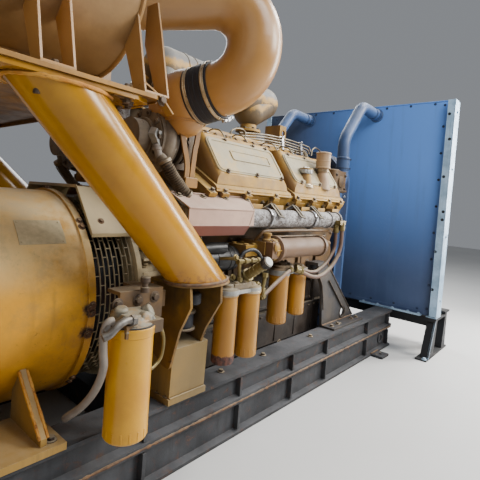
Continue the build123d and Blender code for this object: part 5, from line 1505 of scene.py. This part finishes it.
b.lathe(PT, PAx, [(19, 22), (21.2, 24), (21.6, 28), (19, 31.5), (8, 33), (0.1, 33.2)], 36)
make("primer_knob_cap", b, knob_white, body="plunger")


# ------------------------------------------------------------ front of the engine
b = B()
for s in (-1, 1):
    b.bead([(740, s * 412, 297), (900, s * 412, 297), (1160, s * 412, 297)], 5, 41, closed=False, step=14)
    b.bead([(650, s * 346, 700), (750, s * 346, 700)], 4, 42, closed=False, step=8)
make("front_support_welds", b, weld)
b = B()
for s in (-1, 1):
    b.hollow((1010, s * 412, 345), (0, s, 0), 34, 44, 4, 40)
    b.strip([(738, s * 406, 707), (1168, s * 406, 303)], 22, 6, (0, 1, 0))
    b.strip([(640, s * 406, 640), (700, s * 406, 560), (738, s * 406, 400)], 22, 6, (0, 1, 0), step=1)
    b.obox((900, s * 418, 470), (0.73, 0, -0.685), (0, s, 0), 330, 12, 8)
make("front_support_flanges", b, brown, bevel=1.0)
b = B()
for s in (-1, 1):
    for x in (780, 860, 1060, 1130):
        b.bolt((x, s * 460, 297), (0, 0, 1), 11, 9, 1.5, 3)
    for x in (660, 740):
        b.bolt((x, s * 346, 650), (0, s, 0), 10, 8, 1.5, 2)
for y, z in ((-270, 500), (-280, 620), (-275, 740), (-250, 850), (-225, 960), (-150, 1080), (0, 1120)):
    for s in (-1, 1):
        b.bolt((985, s * y, z), (1, 0, 0), 9, 8, 1.5, 2)
make("front_bolts", b, bolt_m)
b = B()
# pulleys on the two shafts behind the guard
for z, r in ((1010, 92), (650, 118)):
    prof = [(30, 0), (r, 0), (r, 5)]
    for k in range(4):
        prof += [(r - 11, 11 + 12 * k), (r, 17 + 12 * k)]
    prof += [(r, 58), (30, 58)]
    b.lathe((1122, 0, z), (1, 0, 0), prof, 56)
b.lathe((985, 0, 650), (1, 0, 0), [(150, 0), (150, 60), (136, 70)], 56)
make("front_pulleys", b, black)
b = B()
for s in (-1, 1):
    b.lathe((963, s * 268, 1306), (0, 0, 1), [(60, -3), (60, 8), (52, 12), (0.1, 14)], 32)
    b.lathe((1052, s * 266, 1240), (1, 0, 0), [(60, -2), (60, 10), (50, 12)], 40)
    b.lathe((963, s * 345, 1232), (0, s, 0), [(40, -3), (38, 8), (30, 12), (0.1, 13)], 32)
    b.box(872, 1054, s * 347 - 3, s * 347 + 3, 1166, 1178)
make("thermostat_bosses", b, brown, bevel=2.0)
b = B()
for s in (-1, 1):
    for k in range(4):
        a = math.radians(90 * k + 45)
        b.bolt((1062, s * 266 + 52 * math.cos(a), 1240 + 52 * math.sin(a)), (1, 0, 0), 7, 7, 0)
    for dx, dz in ((-62, -44), (62, -44), (-62, 46), (62, 46)):
        b.bolt((963 + dx, s * 345, 1232 + dz), (0, s, 0), 8, 7, 1.5, 2)
make("thermostat_bolts", b, bolt_m)
b = B()
# coolant pipes: sleeve joints with slim clamps; the left pipe leans outwards
low = (((1136, -262, 1330), (0, -0.04, 1)), ((1136, 300.5, 1330), (0, 0.3584, 0.9336)))
for p, a in low:
    b.lathe(p, a, [(43, -3), (47.5, 0), (47.5, 92), (43, 95)], 40)
for y in (-251.6, 385):
    b.lathe((1590, y, 1841), (1, 0, -0.026), [(43, -3), (47, 0), (47, 70), (43, 73)], 40)
make("coolant_couplings", b, coolant)
b = B()
for p, a in low:
    a = Vector(a).normalized()
    for d in (8, 74):
        q = vec(p) + a * d
        b.hollow(q, a, 47, 49.4, 10, 40)
        b.obox(q + a * 5 + Vector((30, -40, 0)), (0.8, 0.6, 0), a, 28, 12, 10)
for y in (-251.6, 385):
    for x in (1594, 1640):
        b.hollow((x, y, 1841), (1, 0, -0.026), 46.5, 48.6, 10, 40)
make("coolant_clamps", b, navy_part)
b = B()
for y in (-250, 385):
    b.lathe((1694, y, 1838), (-1, 0, 0), [(55, -2), (55, 4), (50, 8), (44, 10)], 40)
make("coolant_flanges", b, coolant)

# fan guard: edge strips, seam, bolts, perforated side plates
b = B()
arc = [(0, 0)]
out = [(-242, 150), (-242, 700), (-242, 1230)] + [(-242 * math.cos(math.radians(a)), 1230 + 242 * math.sin(math.radians(a))) for a in range(6, 175, 6)] + [(242, 1230), (242, 700), (242, 150)]
for x in (1302, 1182):
    b.strip([(x, y * 1.0, z) for y, z in out], 26, 3, (1, 0, 0))
    b.strip([(x, y * 0.955, z if z < 1230 else 1230 + (z - 1230) * 0.955) for y, z in out], 3, 24, (1, 0, 0))
make("guard_edges", b, coolant, bevel=0.6)
b = B()
for z in (260, 480, 700, 920, 1140):
    for y in (-244, 244):
        b.bolt((1242, y, z), (0, -1 if y < 0 else 1, 0), 8, 6, 1.5, 1.5)
for a in (20, 55, 90, 125, 160):
    d = Vector((0, -math.cos(math.radians(a)), math.sin(math.radians(a))))
    b.bolt(Vector((1242, 0, 1230)) + d * 243, d, 8, 6, 1.5, 1.5)
for z in (240, 620, 1000, 1260):
    for y in (-205, 205):
        for x, q in ((1301, 1), (1183, -1)):
            b.bolt((x, y, z), (q, 0, 0), 8, 6, 1.5, 1.5)
make("guard_bolts", b, steel)
b = B()
for z in (230, 560, 890, 1220):
    b.strip([(1183, -200, z), (1183, 200, z)], 16, 6, (0, 0, 1))
    b.strip([(1301, -200, z), (1301, 200, z)], 16, 6, (0, 0, 1))
for y in (-120, 0, 120):
    b.strip([(1301, y, 170), (1301, y, 1300)], 12, 6, (0, 1, 0))
make("guard_stiffeners", b, black, bevel=1.0)

# ------------------------------------------------------------ radiator
b = B()
for y in (-846, 846):
    b.box(1692, 1741, y - 4, y + 4, 300, 1912)
b.box(1690, 1742, -846, 846, 1906, 1914)
b.box(1692, 1697, -846, 846, 290, 318)
make("panel_folds", b, navy, bevel=1.5)
b = B()
for s in (-1, 1):
    for z in (340, 520, 720, 920, 1120, 1320, 1520, 1720, 1880):
        b.bolt((1694.5, s * 770, z), (-1, 0, 0), 6, 4, 1.6, 1.2)
    for y in (150, 330, 520, 700):
        b.bolt((1694.5, s * y, 1892), (-1, 0, 0), 6, 4, 1.6, 1.2)
        b.bolt((1694.5, s * y, 330), (-1, 0, 0), 6, 4, 1.6, 1.2)
make("panel_screws", b, navy_part)
b = B()
for s in (-1, 1):
    for y in (280, 400, 520, 640, 720):
        b.bolt((1672, s * y, 296), (0, 0, 1), 9, 7, 1.5, 2)
    b.rim((1655, s * 735, 293), (0, 1, 0), (-1, 0, 0), [(-10, -20), (10, -20), (10, 20), (-10, 20)], [(-4, -8), (4, -8), (4, 8), (-4, 8)], -3, 3)
make("panel_strip_bolts", b, galv)
b = B()
for s in (-1, 1):
    b.box(1655, 1697, s * 492 - 243, s * 492 + 243, 284, 291)
    b.strip([(1656, s * 250, 292), (1656, s * 735, 292)], 4, 14, (1, 0, 0))
make("panel_bottom_strip", b, galv, bevel=1.0)
b = B()
for s in (-1, 1):
    for y, z in ((848, 1083), (846, 1024), (822, 501), (819, 784), (846, 1615), (830, 1340), (830, 1800)):
        b.hollow((1643.5, s * (y - 12), z), (-1, 0, 0), 7, 11, 1.6, 20)
        b.disc((1644.5, s * (y - 12), z), (-1, 0, 0), 7, 1.6, 0.3, 16)
make("channel_plugs", b, black)
b = B()
for s in (-1, 1):
    b.strip([(1645, s * 804, 300), (1645, s * 804, 1905)], 3, 6, (0, 1, 0))
    b.strip([(1643, s * 853, 300), (1643, s * 853, 1905)], 4, 4, (0, 1, 0))
    for z in (420, 900, 1400, 1820):
        b.bolt((1700, s * 855, z), (0, s, 0), 8, 6, 1.5, 2)
make("channel_lips", b, galv, bevel=0.6)
b = B()
# core: tube rows and fins on the front face, side plates
for k in range(124):
    y = -738 + 12 * k
    b.box(1986, 1996, y - 1.2, y + 1.2, 472, 1698)
for k in range(28):
    z = 492 + 44 * k
    b.box(1984, 1993, -738, 738, z - 3, z + 3)
make("core_fins", b, fin_m)
b = B()
for s in (-1, 1):
    b.box(1745, 2010, s * 760 - 20, s * 760 + 20, 470, 1700)
    for z in (560, 800, 1040, 1280, 1520):
        b.bolt((1880, s * 780, z), (0, s, 0), 8, 6, 1.5, 2)
for z in (300, 462, 1702, 1892):
    b.box(1764, 2016, -786, 786, z - 4, z + 6)
for k in range(9):
    y = -700 + 175 * k
    b.box(1764, 2016, y - 4, y + 4, 1716, 1896)
    b.box(1764, 2016, y - 4, y + 4, 306, 462)
b.lathe((1890, -420, 1935), (0, 0, 1), [(46, -6), (48, 0), (48, 6), (44, 9), (0.1, 10)], 36)
b.lathe((1890, 520, 1896), (0, 0, 1), [(30, 0), (30, 6), (20, 8), (16, 22), (0.1, 24)], 24)
for y in (-620, 620):
    b.poly((1890, y, 1896), (1, 0, 0), (0, 1, 0), rounded([(-60, -34), (60, -34), (60, 34), (-60, 34)], 12), 0, 10, 2)
    b.hollow((1890, y - 0, 1922), (1, 0, 0), 16, 26, 10, 28)
make("tank_trim", b, navy_part, bevel=1.5)
b = B()
for k in range(19):
    y = -756 + 84 * k
    for z in (462, 1706):
        b.bolt((2017, y, z - 1), (1, 0, 0), 6, 5, 1.4, 1.2)
make("tank_bolts", b, bolt_m)
b = B()
for k in range(9):
    z = 560 + 140 * k
    b.box(2020, 2028, -770, 770, z - 4, z + 4)
for s in (-1, 1):
    b.box(2010, 2040, s * 776 - 8, s * 776 + 8, 442, 1728)
make("guard_cross_bars", b, navy_part, bevel=1.0)

# radiator foot bracket
b = B()
for s in (-1, 1):
    b.rim((1700, s * 818, 290), (1, 0, 0), (0, 1, 0), rounded([(-62, -38), (68, -38), (68, 38), (-62, 38)], 10), rounded([(-50, -26), (56, -26), (56, 26), (-50, 26)], 8), -1, 6)
    for x in (1655, 1700, 1745):
        b.bolt((x, s * 818, 291), (0, 0, 1), 10, 8, 1.5, 3)
    b.strip([(1549, s * 846, 6), (1667, s * 846, 280)], 12, 5, (0, 1, 0))
    b.bolt((1520, s * 830, 12), (0, 0, 1), 12, 10, 1.5, 3)
    b.bolt((2000, s * 800, 12), (0, 0, 1), 12, 10, 1.5, 3)
make("radiator_foot_fittings", b, galv, bevel=0.8)
b = B()
for s in (-1, 1):
    b.poly((1600, s * 848, 150), (1, 0, 0), (0, 0, 1), [(-60, -130), (64, -130), (110, 128), (56, 128)], -3, 3)
    b.poly((1800, s * 820, 276), (1, 0, 0), (0, 0, 1), [(-90, 0), (60, 0), (-90, -170)], -4, 4)
    b.box(1640, 1980, s * 818 - 30, s * 818 + 30, 262, 276)
make("radiator_foot_gussets", b, black, bevel=1.0)

# ------------------------------------------------------------ rails
b = B()
for s in (-1, 1):
    b.bead([(-2028, s * 530, 158), (-1200, s * 530, 158), (-300, s * 530, 158), (700, s * 530, 158), (1640, s * 530, 158)], 5, 51, closed=False, step=60, lump=0.8)
    for lx in (-1750, 1350):
        b.bead([(lx - 60, s * 531, 18), (lx, s * 531, 18), (lx + 60, s * 531, 18)], 5, 52, closed=False, step=8)
make("rail_welds", b, weld)
b = B()
for s in (-1, 1):
    for x in (-1980, -1500, -700, -180, 250, 620, 1210, 1600):
        b.poly((x, s * 514, 220), (-s, 0, 0), (0, 0, 1), [(-7, -42), (7, -42), (7, 42), (-7, 42)], -14, 14)
        b.poly((x, s * 514, 80), (-s, 0, 0), (0, 0, 1), [(-7, -56), (7, -56), (7, 56), (-7, 56)], -14, 14)
    b.strip([(-2030, s * 529, 279), (1650, s * 529, 279)], 12, 4, (0, 0, 1))
    b.strip([(-2030, s * 529, 166), (1650, s * 529, 166)], 12, 4, (0, 0, 1))
    for x in (1500, -1880):
        b.hollow((x, s * 503, 80), (0, s, 0), 26, 38, 8, 32)
make("rail_stiffeners", b, rail_m, bevel=1.5)
b = B()
for s in (-1, 1):
    for lx in (-1750, 1350):
        for dx in (-34, 34):
            b.lathe((lx + dx, s * 560, 16), (0, 0, 1), [(8, -1), (8, 1)], 12)
    for x in (-500, -250, 60, 520, 900):
        b.bolt((x, s * 460, 285), (0, 0, 1), 11, 9, 1.5, 3)
make("rail_bolts", b, bolt_m)
